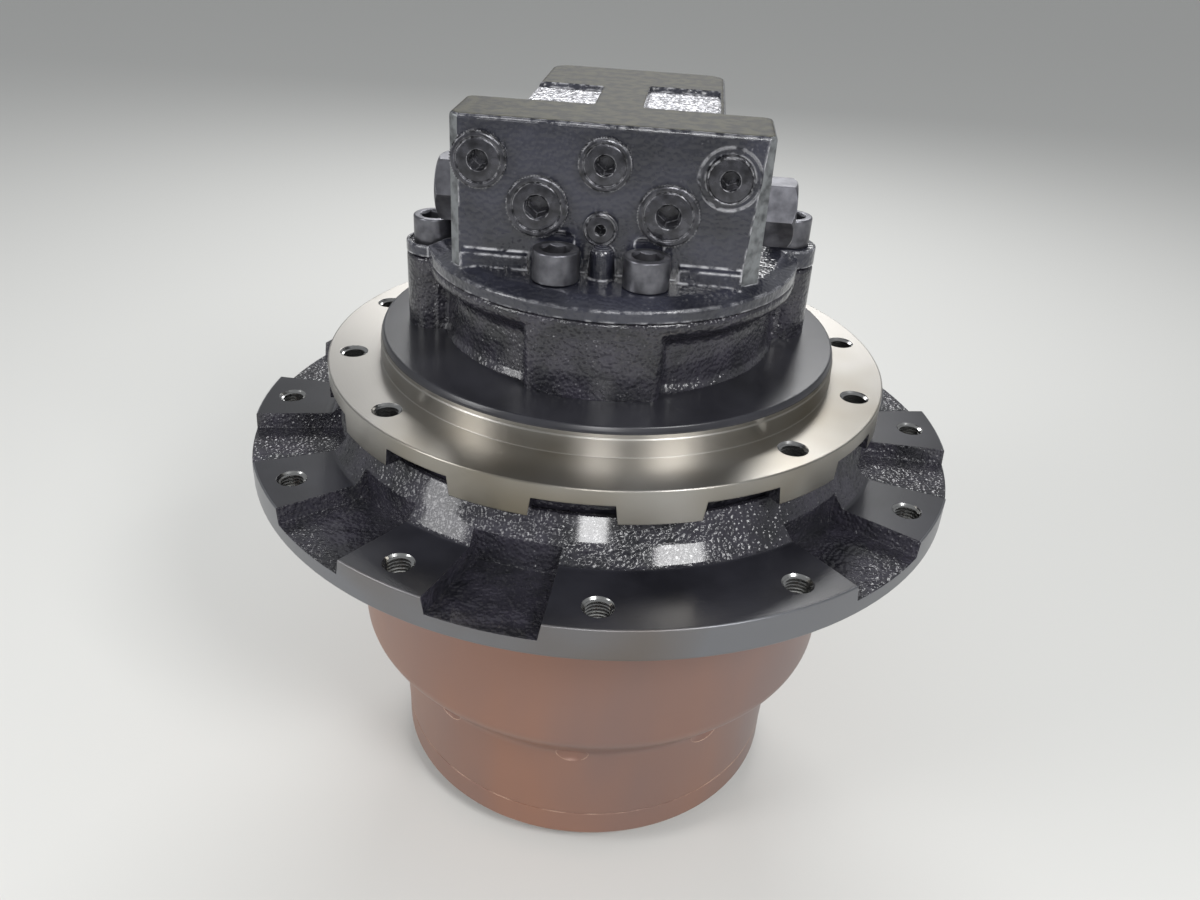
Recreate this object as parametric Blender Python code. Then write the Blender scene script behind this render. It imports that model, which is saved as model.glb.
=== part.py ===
"""Excavator final drive: travel motor, valve block and two-stage planetary hub.

The drive stands on the flat of its gearbox cover, with its axis along +Z and the
valve block's face towards -Y. Units are metres.
"""
import math

import bmesh
import bpy
from mathutils import Matrix, Vector

# Clearances
GAP = 0.0003              # between two pieces that seat on each other
RUNNING = 0.0008          # between a turning piece and the one it turns on
FINE = 1e-7               # distance under which two points are one

# Gears: one ring gear serves both planetary stages
MODULE = 0.005
RING_TEETH = 48
SUN_1_TEETH = 12
SUN_2_TEETH = 16
PLANETS_1 = 3
PLANETS_2 = 4
PLANET_1_TEETH = (RING_TEETH - SUN_1_TEETH) // 2
PLANET_2_TEETH = (RING_TEETH - SUN_2_TEETH) // 2
PRESSURE_ANGLE = math.radians(20)
ADDENDUM = 0.95           # in modules
DEDENDUM = 1.25           # in modules
BACKLASH = 0.0008
STAGE_1_WIDTH = 0.0285
STAGE_2_WIDTH = 0.0445

# Main bearings; the drum, the spindle and the seal take their sizes from them
BEARING_BORE_R = 0.120
BEARING_SECTION = 0.035
BEARING_OUT_R = BEARING_BORE_R + BEARING_SECTION
BEARING_W = 0.033
BEARING_SPACING = 0.038
BEARING_SHOULDER = 0.007
RACE_THIN = BEARING_SECTION * 0.2
RACE_THICK = BEARING_SECTION * 0.34
ROLLERS = 14
CAGE_T = BEARING_SECTION * 0.1
CAGE_END = 0.004

# Gearbox cover
COVER_BOSS_R = 0.095
COVER_BOSS_H = 0.016
COVER_RIM_T = 0.0153
COVER_WALL = 0.014
COVER_DRAFT = 0.007
THRUST_R = 0.018
COVER_BOLTS = 12
COVER_HEAD_R = 0.008
COVER_HEAD_H = 0.010
COVER_PLUGS = 3
COVER_PLUG_R = 0.011
COVER_PLUG_H = 0.005

# Hub drum
DRUM_R = 0.1435
GEAR_CASE_H = 0.068
TAPER_H = 0.030
TAPER_FOOT_R = 0.1465
BEARING_CASE_H = 0.1319
BEARING_CASE_WALL = 0.0165
BEARING_CASE_R = BEARING_OUT_R + BEARING_CASE_WALL
BEARING_CASE_TOP_R = BEARING_CASE_R + 0.004
DENTS = 3
DENT_R = 0.009
DENT_START = math.radians(-132)
DENT_STEP = math.radians(30)
FLANGE_W = 0.0625
FLANGE_R = BEARING_CASE_TOP_R + FLANGE_W
FLANGE_T = 0.0205
FLANGE_HOLES = 12
FLANGE_HOLE_EDGE = 0.0188
TAPPED_R = 0.0078
RECESS_DEPTH = 0.0105
RECESS_ANGLE = math.radians(16)
HUB_TURN = math.radians(5)
PLAIN_PADS = (0, 6)
COLLAR_R = BEARING_CASE_TOP_R + 0.0115
COLLAR_RIDGE_R = COLLAR_R - 0.009
COLLAR_RIDGE_H = 0.0105
COLLAR_TOP_R = COLLAR_R - 0.017
COLLAR_TOP_H = 0.024
RECESS_IN_R = COLLAR_RIDGE_R + 0.002

# Face seal
SEAL_OUT_R = BEARING_OUT_R + 0.0025
SEAL_IN_R = BEARING_BORE_R + 0.020
SEAL_RING_H = 0.0137
SEAL_LIP = 0.005

# Cylinder barrel and the brake round it; the motor casing takes its sizes from them
BARREL_R = 0.054
BRAKE_DISC_R = BARREL_R + 0.020
BRAKE_PISTON_IN_R = BARREL_R + 0.004

# Spindle: carrier end, frame flange and motor casing
SPINDLE_BORE_R = 0.034
SPINDLE_NOSE_R = BEARING_BORE_R - 0.008
NOSE_H = 0.012
NUT_T = 0.013
NUT_H = 0.0088
SKIRT_T = 0.007
FRAME_FLANGE_R = SEAL_OUT_R + 0.0279
FRAME_FLANGE_T = 0.0217
FRAME_FACE_Z = 0.3327
TAB_DEPTH = 0.012
TAB_ANGLE = math.radians(15)
FRAME_HOLES = 12
FRAME_HOLE_EDGE = 0.0166
FRAME_BLANKS = (8, 9)
PILOT_R = FRAME_FLANGE_R - 0.0344
PILOT_H = 0.0153
DISC_R = PILOT_R - 0.002
DISC_T = 0.0033
CASING_BORE_R = BRAKE_DISC_R + 0.004
BRAKE_LEDGE_R = BRAKE_DISC_R - 0.004
CASING_R = CASING_BORE_R + 0.029
CASING_RIM_R = CASING_R + 0.012
CASING_RIM_H = 0.008
CASING_H = 0.0477
FRONT_LOBE_R = CASING_R + 0.0115
FRONT_LOBE_W = 0.080
BOSS_R = 0.0185
SIDE_BOLT_R = CASING_R + 0.007
SIDE_BOLT_ANGLES = tuple(math.radians(a) for a in (8, 42, 140, 190))
SUNK_BOLT = 3
SUNK_DEPTH = 0.0075
BOLT_X = 0.026
BOLT_FRONT_Y = CASING_BORE_R + 0.010
BOLT_BACK_Y = CASING_BORE_R + 0.017
BOLT_R = 0.009
HEAD_R = 0.0135
HEAD_H = 0.018
BOLT_DEPTH = 0.030
KEY_R = 0.0078

# Planet pins
PIN_1_R = 0.014
PIN_2_R = 0.016
PIN_HEAD_EXTRA = 0.004
PIN_HEAD_H = 0.0035
PIN_2_DEPTH = 0.036

# First carrier and shafts
PLANET_1_LIFT = 0.006
CARRIER_CLEARANCE = 0.0035
PLANET_2_LIFT = 0.0055
NOSE_CLEARANCE = 0.004
CARRIER_T = 0.014
CARRIER_R = 0.096
CARRIER_WAIST = 0.030
SUN_2_BORE_R = 0.0173
SUN_1_BORE_R = 0.0115
SHAFT_R = 0.018
SHAFT_THIN_R = 0.015
SHAFT_END_R = 0.0145
SHAFT_BEARING_R = 0.040
SHAFT_BEARING_W = 0.019

# Hydraulic motor and parking brake
SWASH_R = BRAKE_LEDGE_R - 0.004
SWASH_CLEARANCE = 0.006
SWASH_TILT = math.radians(14)
SWASH_MID_H = 0.024
BARREL_H = 0.066
PISTONS = 9
PISTON_R = 0.0075
PISTON_PITCH_R = 0.037
VALVE_PLATE_T = 0.0055
BRAKE_PLATE_T = 0.003
BRAKE_PISTON_H = 0.023

# Valve block (rear cover)
SPIGOT_H = 0.0153
COVER_EDGE_H = 0.0072
COVER_TOP_H = 0.0117
COVER_TOP_R = CASING_RIM_R - 0.011
BLOCK_HALF_W = 0.0905
BLOCK_FACE_Y = BOLT_FRONT_Y - 0.014
BLOCK_HEAD_DEPTH = 0.052
BLOCK_H = 0.0856
BLOCK_CHAMFER = 0.004
BLOCK_FOOT_CHAMFER = 0.011
TOWER_HALF_W = 0.0595
TOWER_X = 0.0035
TOWER_BACK_Y = 0.078
PORT_HEAD_BACK_Y = 0.106
PORT_HEAD_H = 0.030
PORT_HEAD_CHAMFER = 0.010
SHELF_HALF_W = 0.088
SHELF_BACK_Y = 0.050
SHELF_H = 0.040
POCKET_IN_X = 0.014
POCKET_WALL = 0.003
POCKET_FRONT_Y = -0.0235
POCKET_BACK_LEFT_Y = 0.036
POCKET_BACK_RIGHT_Y = 0.047
POCKET_DEPTH = 0.005
HEAD_CLEARANCE = 0.003
PORT_R = 0.0155
PORT_DEPTH = 0.020
PORT_X = 0.031
PORT_H = 0.051
DRAIN_R = 0.009
DRAIN_DEPTH = 0.014
DRAIN_H = 0.071
SPOOL_R = 0.0105
SPOOL_LAND = 0.020
SPOOL_NECK_R = 0.0065
SPOOL_HALF_L = 0.046
SPOOL_Y = -0.040
SPOOL_H = 0.0355
SPOOL_CAP_HEX = 0.036
SPOOL_CAP_LENGTHS = (0.0125, 0.0175)
SPOOL_CAP_SHANK_R = 0.0145
SPOOL_CAP_SHANK_L = 0.022

# Front plugs: name, x, height above the cover's top, radius, key size across flats
FRONT_PLUGS = (
    ("plug_top_left", -0.0730, 0.0615, 0.0157, 0.012),
    ("plug_top_centre", -0.0018, 0.0640, 0.0146, 0.010),
    ("plug_top_right", 0.0677, 0.0610, 0.0134, 0.010),
    ("plug_large_left", -0.0393, 0.0377, 0.0174, 0.014),
    ("plug_large_right", 0.0355, 0.0383, 0.0174, 0.014),
    ("plug_small", -0.0024, 0.0275, 0.0101, 0.006),
)
PLUG_PROUD = 0.0035
PLUG_SHANK = 0.012
PLUG_SHANK_SHARE = 0.8

# Facets round a full turn
SEG_BIG = 36
SEG_MID = SEG_BIG // 2
SEG_PIN = 12
SEG_BOLT = 10
SEG_HOLE = 8

# Stations along the axis, from the cover's flat upwards
JOINT_Z = COVER_BOSS_H + COVER_RIM_T
DRUM_Z = JOINT_Z + GAP
TAPER_Z = DRUM_Z + GEAR_CASE_H
BEARING_CASE_Z = TAPER_Z + TAPER_H
FLANGE_Z = BEARING_CASE_Z + BEARING_CASE_H
PAD_Z = FLANGE_Z + FLANGE_T
PLANET_1_Z = DRUM_Z + PLANET_1_LIFT
CARRIER_Z = PLANET_1_Z + STAGE_1_WIDTH + CARRIER_CLEARANCE
PLANET_2_Z = CARRIER_Z + CARRIER_T + PLANET_2_LIFT
SPINDLE_Z = PLANET_2_Z + STAGE_2_WIDTH + NOSE_CLEARANCE
RING_TOP_Z = SPINDLE_Z - 0.001
BEARING_LOW_Z = SPINDLE_Z + NOSE_H
BEARING_HIGH_Z = BEARING_LOW_Z + BEARING_W + BEARING_SPACING
SHOULDER_Z = BEARING_HIGH_Z + BEARING_W + 2 * GAP
SEAL_Z = SHOULDER_Z + 0.0075
SEAL_MEET_Z = SEAL_Z + GAP + SEAL_RING_H
SEAL_ROOF_Z = SEAL_MEET_Z + SEAL_RING_H + 2 * GAP
TAB_Z = FRAME_FACE_Z - FRAME_FLANGE_T
DISC_TOP_Z = FRAME_FACE_Z + PILOT_H + DISC_T
CASING_TOP_Z = DISC_TOP_Z + CASING_H
SHAFT_BEARING_Z = SHOULDER_Z - 0.014
MOTOR_FLOOR_Z = SHAFT_BEARING_Z + SHAFT_BEARING_W + 3 * GAP
SPIGOT_Z = CASING_TOP_Z + GAP - SPIGOT_H
VALVE_PLATE_Z = SPIGOT_Z - GAP - VALVE_PLATE_T
BARREL_Z = VALVE_PLATE_Z - GAP - BARREL_H
BRAKE_Z = BARREL_Z + 0.022
COVER_Z = CASING_TOP_Z + GAP
COVER_TOP_Z = COVER_Z + COVER_TOP_H
BLOCK_TOP_Z = COVER_TOP_Z + BLOCK_H

RING_R = RING_TEETH * MODULE / 2
CENTRES_1 = (SUN_1_TEETH + PLANET_1_TEETH) * MODULE / 2
CENTRES_2 = (SUN_2_TEETH + PLANET_2_TEETH) * MODULE / 2


def clear_scene():
    """Remove every object that a new file starts with."""
    for thing in list(bpy.data.objects):
        bpy.data.objects.remove(thing, do_unlink=True)


def finish(name, colour, roughness, metallic):
    """A plain material with the finish of the real surface."""
    made = bpy.data.materials.new(name)
    made.use_nodes = True
    shader = made.node_tree.nodes["Principled BSDF"]
    shader.inputs["Base Color"].default_value = (*colour, 1.0)
    shader.inputs["Roughness"].default_value = roughness
    shader.inputs["Metallic"].default_value = metallic
    return made


def circle(radius, segments, centre=(0.0, 0.0), start=0.0):
    """Points of a circle in the XY plane."""
    points = []
    for k in range(segments):
        a = start + 2 * math.pi * k / segments
        points.append((centre[0] + radius * math.cos(a), centre[1] + radius * math.sin(a)))
    return points


def arc(radius, start, end, steps, centre=(0.0, 0.0)):
    """Points of an arc in the XY plane, both ends included."""
    points = []
    for k in range(steps + 1):
        a = start + (end - start) * k / steps
        points.append((centre[0] + radius * math.cos(a), centre[1] + radius * math.sin(a)))
    return points


def sector(near, far, middle, angle):
    """Plan of a slot that opens outwards, between two radii."""
    low, high = middle - angle / 2, middle + angle / 2
    return [on_circle(near, low), on_circle(far, low), on_circle(far, high), on_circle(near, high)]


def hexagon(across_flats, centre=(0.0, 0.0), start=0.0):
    """Corners of a hexagon in the XY plane."""
    return circle(across_flats / math.sqrt(3), 6, centre, start)


def revolve(profile, segments, start=0.0):
    """Turn a closed profile of (radius, height) points about Z."""
    bm = bmesh.new()
    rings = []
    for radius, height in profile:
        if radius < FINE:
            rings.append([bm.verts.new((0.0, 0.0, height))])
        else:
            ring = circle(radius, segments, start=start)
            rings.append([bm.verts.new((x, y, height)) for x, y in ring])
    for lower, upper in zip(rings, rings[1:] + rings[:1]):
        for k in range(segments):
            j = (k + 1) % segments
            corners = [lower[k % len(lower)], lower[j % len(lower)]]
            corners += [upper[j % len(upper)], upper[k % len(upper)]]
            face = []
            for corner in corners:
                if corner not in face:
                    face.append(corner)
            if len(face) > 2:
                bm.faces.new(face)
    bmesh.ops.recalc_face_normals(bm, faces=bm.faces)
    return bm


def prism(outlines, low, high):
    """Extrude an outline, with any further outlines as holes through it."""
    bm = bmesh.new()
    loops = {low: [], high: []}
    for outline in outlines:
        for height in (low, high):
            verts = [bm.verts.new((x, y, height)) for x, y in outline]
            edges = [bm.edges.new((a, b)) for a, b in zip(verts, verts[1:] + verts[:1])]
            loops[height].append((verts, edges))
        bottom, top = loops[low][-1][0], loops[high][-1][0]
        for k in range(len(bottom)):
            j = (k + 1) % len(bottom)
            bm.faces.new((bottom[k], bottom[j], top[j], top[k]))
    for height in (low, high):
        if len(outlines) == 1:
            bm.faces.new(loops[height][0][0])
        else:
            edges = [edge for _, loop in loops[height] for edge in loop]
            bmesh.ops.triangle_fill(bm, use_beauty=True, use_dissolve=False, edges=edges)
    bmesh.ops.recalc_face_normals(bm, faces=bm.faces)
    return bm


def tapped_hole(mouth_z, depth, centre):
    """Cutter for a tapped hole that opens upwards; its bore is the thread's inner diameter."""
    return prism([circle(TAPPED_R, SEG_HOLE, centre)], mouth_z - depth, mouth_z + 0.002)


def moved(bm, matrix):
    """Apply a matrix to a mesh and give it back."""
    bmesh.ops.transform(bm, matrix=matrix, verts=bm.verts)
    return bm


def along_x(bm, origin, sign=1):
    """Turn a mesh built along +Z so that it points along +X or -X from an origin."""
    turn = Matrix.Rotation(sign * math.pi / 2, 4, "Y")
    return moved(bm, Matrix.Translation(origin) @ turn)


def along_y(bm, origin, sign=1):
    """Turn a mesh built along +Z so that it points along +Y or -Y from an origin."""
    turn = Matrix.Rotation(-sign * math.pi / 2, 4, "X")
    return moved(bm, Matrix.Translation(origin) @ turn)


def joined(parts):
    """Several meshes as one, each still a shell of its own."""
    whole = bmesh.new()
    for part in parts:
        mesh = bpy.data.meshes.new("shell")
        part.to_mesh(mesh)
        part.free()
        whole.from_mesh(mesh)
        bpy.data.meshes.remove(mesh)
    return whole


def combine(body, tools, operation):
    """Cut the tools from a body, or add them to it."""
    holder = bpy.data.objects.new("body", bpy.data.meshes.new("body"))
    body.to_mesh(holder.data)
    body.free()
    cutter = bpy.data.objects.new("cutter", bpy.data.meshes.new("cutter"))
    tools.to_mesh(cutter.data)
    tools.free()
    for thing in (holder, cutter):
        bpy.context.scene.collection.objects.link(thing)
    modifier = holder.modifiers.new("combine", "BOOLEAN")
    modifier.operation = operation
    modifier.object = cutter
    modifier.solver = "EXACT"
    modifier.use_self = True
    seen = holder.evaluated_get(bpy.context.evaluated_depsgraph_get())
    mesh = bpy.data.meshes.new_from_object(seen)
    result = bmesh.new()
    result.from_mesh(mesh)
    bpy.data.objects.remove(holder)
    bpy.data.objects.remove(cutter)
    bpy.data.meshes.remove(mesh)
    bmesh.ops.remove_doubles(result, verts=result.verts, dist=FINE)
    bmesh.ops.dissolve_degenerate(result, dist=FINE, edges=result.edges)
    return result


def cut(body, tools):
    return combine(body, joined(tools), "DIFFERENCE")


def add(body, tools):
    return combine(body, joined(tools), "UNION")


def place(name, bm, material, axis=(0.0, 0.0, 0.0), smooth=True):
    """Make the named object, with its origin on its own axis."""
    moved(bm, Matrix.Translation(-Vector(axis)))
    mesh = bpy.data.meshes.new(name)
    bm.to_mesh(mesh)
    bm.free()
    if smooth:
        mesh.shade_smooth()
        mesh.set_sharp_from_angle(angle=math.radians(32))
    mesh.materials.append(material)
    made = bpy.data.objects.new(name, mesh)
    made.location = axis
    bpy.context.scene.collection.objects.link(made)
    return made


def involute(angle):
    return math.tan(angle) - angle


def tooth_outline(teeth, root_r, tip_r, slack, phase):
    """Outline of a spur gear; phase is the angle of one tooth's middle.

    Four points a tooth lie on the true involute at the root and the tip.
    """
    pitch_r = teeth * MODULE / 2
    base_r = pitch_r * math.cos(PRESSURE_ANGLE)
    half_pitch = math.pi / (2 * teeth) - slack / (2 * pitch_r)

    def half_angle(radius):
        at = math.acos(min(1.0, base_r / radius))
        return half_pitch + involute(PRESSURE_ANGLE) - involute(at)

    points = []
    for k in range(teeth):
        middle = phase + 2 * math.pi * k / teeth
        for radius, side in ((root_r, -1), (tip_r, -1), (tip_r, 1), (root_r, 1)):
            a = middle + side * half_angle(radius)
            points.append((radius * math.cos(a), radius * math.sin(a)))
    return points


def gear_outline(teeth, phase, centre=(0.0, 0.0)):
    """Outline of one of this drive's outer-toothed gears."""
    pitch_r = teeth * MODULE / 2
    outline = tooth_outline(
        teeth, pitch_r - DEDENDUM * MODULE, pitch_r + ADDENDUM * MODULE, BACKLASH / 2, phase
    )
    return [(x + centre[0], y + centre[1]) for x, y in outline]


def planet_phase(teeth, angle, ring_phase):
    """Phase of a planet at an angle whose teeth stand in the ring gear's spaces."""
    ring_part = (angle - ring_phase) * RING_TEETH / (2 * math.pi)
    return angle - (ring_part - 0.5) * 2 * math.pi / teeth


def sun_phase(sun_teeth, planet_teeth, angle, phase):
    """Phase of the sun gear that meshes with the planet at an angle."""
    planet_part = (angle + math.pi - phase) * planet_teeth / (2 * math.pi)
    return angle - (0.5 - planet_part) * 2 * math.pi / sun_teeth


def on_circle(radius, angle):
    return (radius * math.cos(angle), radius * math.sin(angle))


def planet_angles(count, start=0.0):
    return [start + 2 * math.pi * k / count for k in range(count)]


RING_PHASE = 0.0
STAGE_1_ANGLES = planet_angles(PLANETS_1, math.pi / 2)
STAGE_2_ANGLES = planet_angles(PLANETS_2, math.pi / 4)


def cap_screw(name, x, y, seat_z, material):
    """Socket head cap screw standing on its seat."""
    bottom = seat_z - BOLT_DEPTH
    low = seat_z + GAP
    high = low + HEAD_H
    profile = [(0, bottom), (BOLT_R, bottom), (BOLT_R, low), (HEAD_R, low)]
    profile += [(HEAD_R, high), (0, high)]
    body = revolve(profile, SEG_BOLT)
    socket = prism([hexagon(2 * KEY_R)], high - 0.009, high + 0.002)
    body = cut(body, [socket])
    moved(body, Matrix.Translation((x, y, 0)))
    return place(name, body, material, axis=(x, y, seat_z))


def bolt_places():
    """Where the cap screws of the rear cover stand, with the height of each seat."""
    places = [(-BOLT_X, -BOLT_FRONT_Y, COVER_TOP_Z), (BOLT_X, -BOLT_FRONT_Y, COVER_TOP_Z)]
    for k, angle in enumerate(SIDE_BOLT_ANGLES):
        seat = COVER_TOP_Z - SUNK_DEPTH if k == SUNK_BOLT else COVER_TOP_Z
        places.append((*on_circle(SIDE_BOLT_R, angle), seat))
    places += [(BOLT_X, BOLT_BACK_Y, COVER_TOP_Z), (-BOLT_X, BOLT_BACK_Y, COVER_TOP_Z)]
    return places


def wide_lobe(middle):
    """Plan of the wide lobe that carries a pair of cap screws, about an angle."""
    half = math.asin(FRONT_LOBE_W / 2 / FRONT_LOBE_R)
    points = arc(FRONT_LOBE_R, middle - half, middle + half, 8)
    inner = CASING_R * 0.8
    side = Vector((-math.sin(middle), math.cos(middle))) * (FRONT_LOBE_W / 2)
    along = Vector((math.cos(middle), math.sin(middle))) * inner
    return points + [tuple(along + side), tuple(along - side)]


def gearbox_cover(material):
    """Dished cover with its ring of cap screws and the flat that it stands on."""
    rim_low = COVER_BOSS_H
    floor = COVER_WALL
    seat = PLANET_1_Z - 0.0015 - GAP
    inner = RING_R - DEDENDUM * MODULE - 0.010
    profile = [(0, 0), (COVER_BOSS_R, 0), (COVER_BOSS_R + COVER_DRAFT, rim_low), (DRUM_R, rim_low)]
    profile += [(DRUM_R, JOINT_Z), (inner, JOINT_Z), (COVER_BOSS_R - 0.004, floor)]
    profile += [(THRUST_R, floor), (THRUST_R, seat), (0, seat)]
    body = revolve(profile, SEG_BIG)
    pitch = (COVER_BOSS_R + COVER_DRAFT + DRUM_R) / 2
    heads = []
    for k in range(COVER_BOLTS):
        x, y = on_circle(pitch, 2 * math.pi * k / COVER_BOLTS)
        low, high = rim_low - COVER_HEAD_H, rim_low + 0.004
        heads.append(prism([circle(COVER_HEAD_R, SEG_HOLE, (x, y))], low, high))
    body = add(body, heads)
    sockets = []
    for x, y in plug_places():
        depth = floor - 0.002
        sockets.append(prism([circle(COVER_PLUG_R, SEG_BOLT, (x, y))], -0.002, COVER_PLUG_H + 0.0015))
        sockets.append(prism([circle(COVER_PLUG_R * 0.6, SEG_BOLT, (x, y))], 0, depth))
    body = cut(body, sockets)
    return place("gearbox_cover", body, material)


def plug_places():
    """Oil plugs on the cover's flat: filler, level and drain."""
    return [on_circle(COVER_BOSS_R * 0.7, math.radians(90 + 360 * k / COVER_PLUGS)) for k in range(COVER_PLUGS)]


def oil_plug(name, x, y, material):
    """Countersunk socket plug, level with the flat that it seals."""
    low = 0.001
    high = COVER_PLUG_H + 0.0015 - GAP
    deep = COVER_WALL - 0.002 - GAP - 0.001
    wide = COVER_PLUG_R - GAP
    thin = COVER_PLUG_R * 0.6 - GAP
    profile = [(0, low), (wide, low), (wide, high), (thin, high), (thin, deep), (0, deep)]
    body = cut(revolve(profile, SEG_BOLT), [prism([hexagon(COVER_PLUG_R * 0.8)], low - 0.002, low + 0.004)])
    moved(body, Matrix.Translation((x, y, 0)))
    return place(name, body, material, axis=(x, y, 0))


def hub_drum(material):
    """Rotating drum: ring gear, bearing bore, sprocket flange and seal collar in one casting."""
    tip = RING_R - ADDENDUM * MODULE
    bore = BEARING_OUT_R + GAP
    pocket = SEAL_OUT_R + SKIRT_T + 0.003
    outer = [(DRUM_R, DRUM_Z), (TAPER_FOOT_R, TAPER_Z), (BEARING_CASE_R, BEARING_CASE_Z)]
    outer += [(BEARING_CASE_TOP_R, FLANGE_Z), (FLANGE_R, FLANGE_Z), (FLANGE_R, PAD_Z), (COLLAR_R, PAD_Z)]
    outer += [(COLLAR_RIDGE_R, PAD_Z + COLLAR_RIDGE_H), (COLLAR_TOP_R, PAD_Z + COLLAR_TOP_H)]
    inner = [(pocket, PAD_Z + COLLAR_TOP_H), (pocket, SEAL_Z), (bore, SEAL_Z), (bore, BEARING_HIGH_Z)]
    inner += [(bore - BEARING_SHOULDER, BEARING_HIGH_Z), (bore - BEARING_SHOULDER, BEARING_LOW_Z + BEARING_W + GAP)]
    inner += [(bore, BEARING_LOW_Z + BEARING_W + GAP), (bore, BEARING_LOW_Z), (tip, RING_TOP_Z), (tip, DRUM_Z)]
    body = revolve(outer + inner, SEG_BIG, start=HUB_TURN)
    teeth = tooth_outline(RING_TEETH, tip - 0.0015, RING_R + DEDENDUM * MODULE, -BACKLASH / 2,
                          RING_PHASE + math.pi / RING_TEETH)
    tools = [prism([teeth], DRUM_Z - 0.001, BEARING_LOW_Z)]
    body = cut(body, tools)
    tools = []
    for k in range(FLANGE_HOLES):
        angle = HUB_TURN + 2 * math.pi * k / FLANGE_HOLES
        x, y = on_circle(FLANGE_R - FLANGE_HOLE_EDGE, angle)
        tools.append(tapped_hole(PAD_Z, FLANGE_T + 0.002, (x, y)))
    step = 2 * math.pi / FLANGE_HOLES
    for k in range(FLANGE_HOLES):
        if k in PLAIN_PADS:
            continue
        middle = HUB_TURN - math.radians(75) + step * k
        outline = sector(RECESS_IN_R, FLANGE_R + 0.01, middle, RECESS_ANGLE)
        tools.append(prism([outline], PAD_Z - RECESS_DEPTH, PAD_Z + COLLAR_RIDGE_H + 0.002))
    body = cut(body, tools)
    dents = []
    for k in range(DENTS):
        middle = HUB_TURN + DENT_START + DENT_STEP * k
        x, y = on_circle(BEARING_CASE_R + 0.003, middle)
        ball = bmesh.new()
        bmesh.ops.create_uvsphere(ball, u_segments=6, v_segments=4, radius=DENT_R)
        dents.append(moved(ball, Matrix.Translation((x, y, BEARING_CASE_Z - 0.004))))
    body = cut(body, dents)
    return place("hub_drum", body, material)


def crown(low_r, high_r, low, high):
    """Ring of tapered rollers with the cage's webs between them."""
    bm = bmesh.new()
    loops = []
    race_gap = BEARING_OUT_R - BEARING_BORE_R - GAP - RACE_THICK - RACE_THIN
    roller_r = race_gap / 2 - RUNNING
    for radius, height in ((low_r, low), (high_r, high)):
        across = roller_r / radius
        outer, inner = [], []
        for k in range(ROLLERS):
            middle = 2 * math.pi * k / ROLLERS
            for side in (-1, 1):
                flank = middle + side * across
                top = middle + side * across * 0.5
                pair = [(radius + CAGE_T / 2, flank), (radius + roller_r, top)]
                outer += pair if side < 0 else pair[::-1]
                pair = [(radius - CAGE_T / 2, flank), (radius - roller_r, top)]
                inner += pair if side < 0 else pair[::-1]
        for points in (outer, inner):
            loops.append([bm.verts.new((*on_circle(r, a), height)) for r, a in points])
    low_out, low_in, high_out, high_in = loops
    for a, b in ((low_out, high_out), (high_in, low_in), (low_in, low_out), (high_out, high_in)):
        for k in range(len(a)):
            j = (k + 1) % len(a)
            bm.faces.new((a[k], a[j], b[j], b[k]))
    bmesh.ops.recalc_face_normals(bm, faces=bm.faces)
    return bm


def main_bearing(label, low, opens_up, races, rollers):
    """Tapered roller bearing: the cone on the spindle, the cup in the hub, rollers between."""
    high = low + BEARING_W
    base = low + GAP
    bore = BEARING_BORE_R + GAP
    thick, thin = bore + RACE_THICK, bore + RACE_THIN
    cone = [(bore, base), (bore, high), (thin if opens_up else thick, high), (thick if opens_up else thin, base)]
    place("bearing_cone_" + label, revolve(cone, SEG_BIG), races)
    thick, thin = BEARING_OUT_R - RACE_THICK, BEARING_OUT_R - RACE_THIN
    cup = [(BEARING_OUT_R, base), (BEARING_OUT_R, high), (thick if opens_up else thin, high)]
    cup.append((thin if opens_up else thick, base))
    place("bearing_cup_" + label, revolve(cup, SEG_BIG, start=HUB_TURN), races)
    middle = (BEARING_BORE_R + BEARING_OUT_R) / 2
    lean = (RACE_THICK - RACE_THIN) / 2 * (1 - 2 * CAGE_END / BEARING_W)
    low_r, high_r = (middle + lean, middle - lean) if opens_up else (middle - lean, middle + lean)
    body = crown(low_r, high_r, low + CAGE_END, high - CAGE_END)
    place("roller_cage_" + label, body, rollers)


def bearing_pair(races, rollers, plain):
    """Both main bearings and the nut that clamps them on the spindle."""
    main_bearing("lower", BEARING_LOW_Z, False, races, rollers)
    main_bearing("upper", BEARING_HIGH_Z, True, races, rollers)
    inside = SPINDLE_NOSE_R + GAP
    outside = SPINDLE_NOSE_R + NUT_T
    top = BEARING_LOW_Z
    low = top - NUT_H
    nut = revolve([(inside, low), (outside, low), (outside, top), (inside, top)], SEG_BIG)
    notches = []
    for k in range(4):
        turn = Matrix.Rotation(math.pi * k / 2, 4, "Z")
        box = prism([[(outside - 0.005, -0.006), (outside + 0.004, -0.006),
                      (outside + 0.004, 0.006), (outside - 0.005, 0.006)]], low - 0.002, top - 0.003)
        notches.append(moved(box, turn))
    place("bearing_nut", cut(nut, notches), plain)


def face_seal(material):
    """Pair of lapped rings that keeps the oil in and the mud out."""
    base = SEAL_Z + GAP
    narrow = SEAL_OUT_R - SEAL_LIP
    lower = [(SEAL_IN_R, base), (SEAL_OUT_R, base), (narrow, SEAL_MEET_Z), (SEAL_IN_R, SEAL_MEET_Z)]
    place("seal_ring_hub", revolve(lower, SEG_BIG), material)
    base = SEAL_MEET_Z + GAP
    top = base + SEAL_RING_H
    upper = [(SEAL_IN_R, base), (narrow, base), (SEAL_OUT_R, top), (SEAL_IN_R, top)]
    place("seal_ring_spindle", revolve(upper, SEG_BIG), material)


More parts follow.
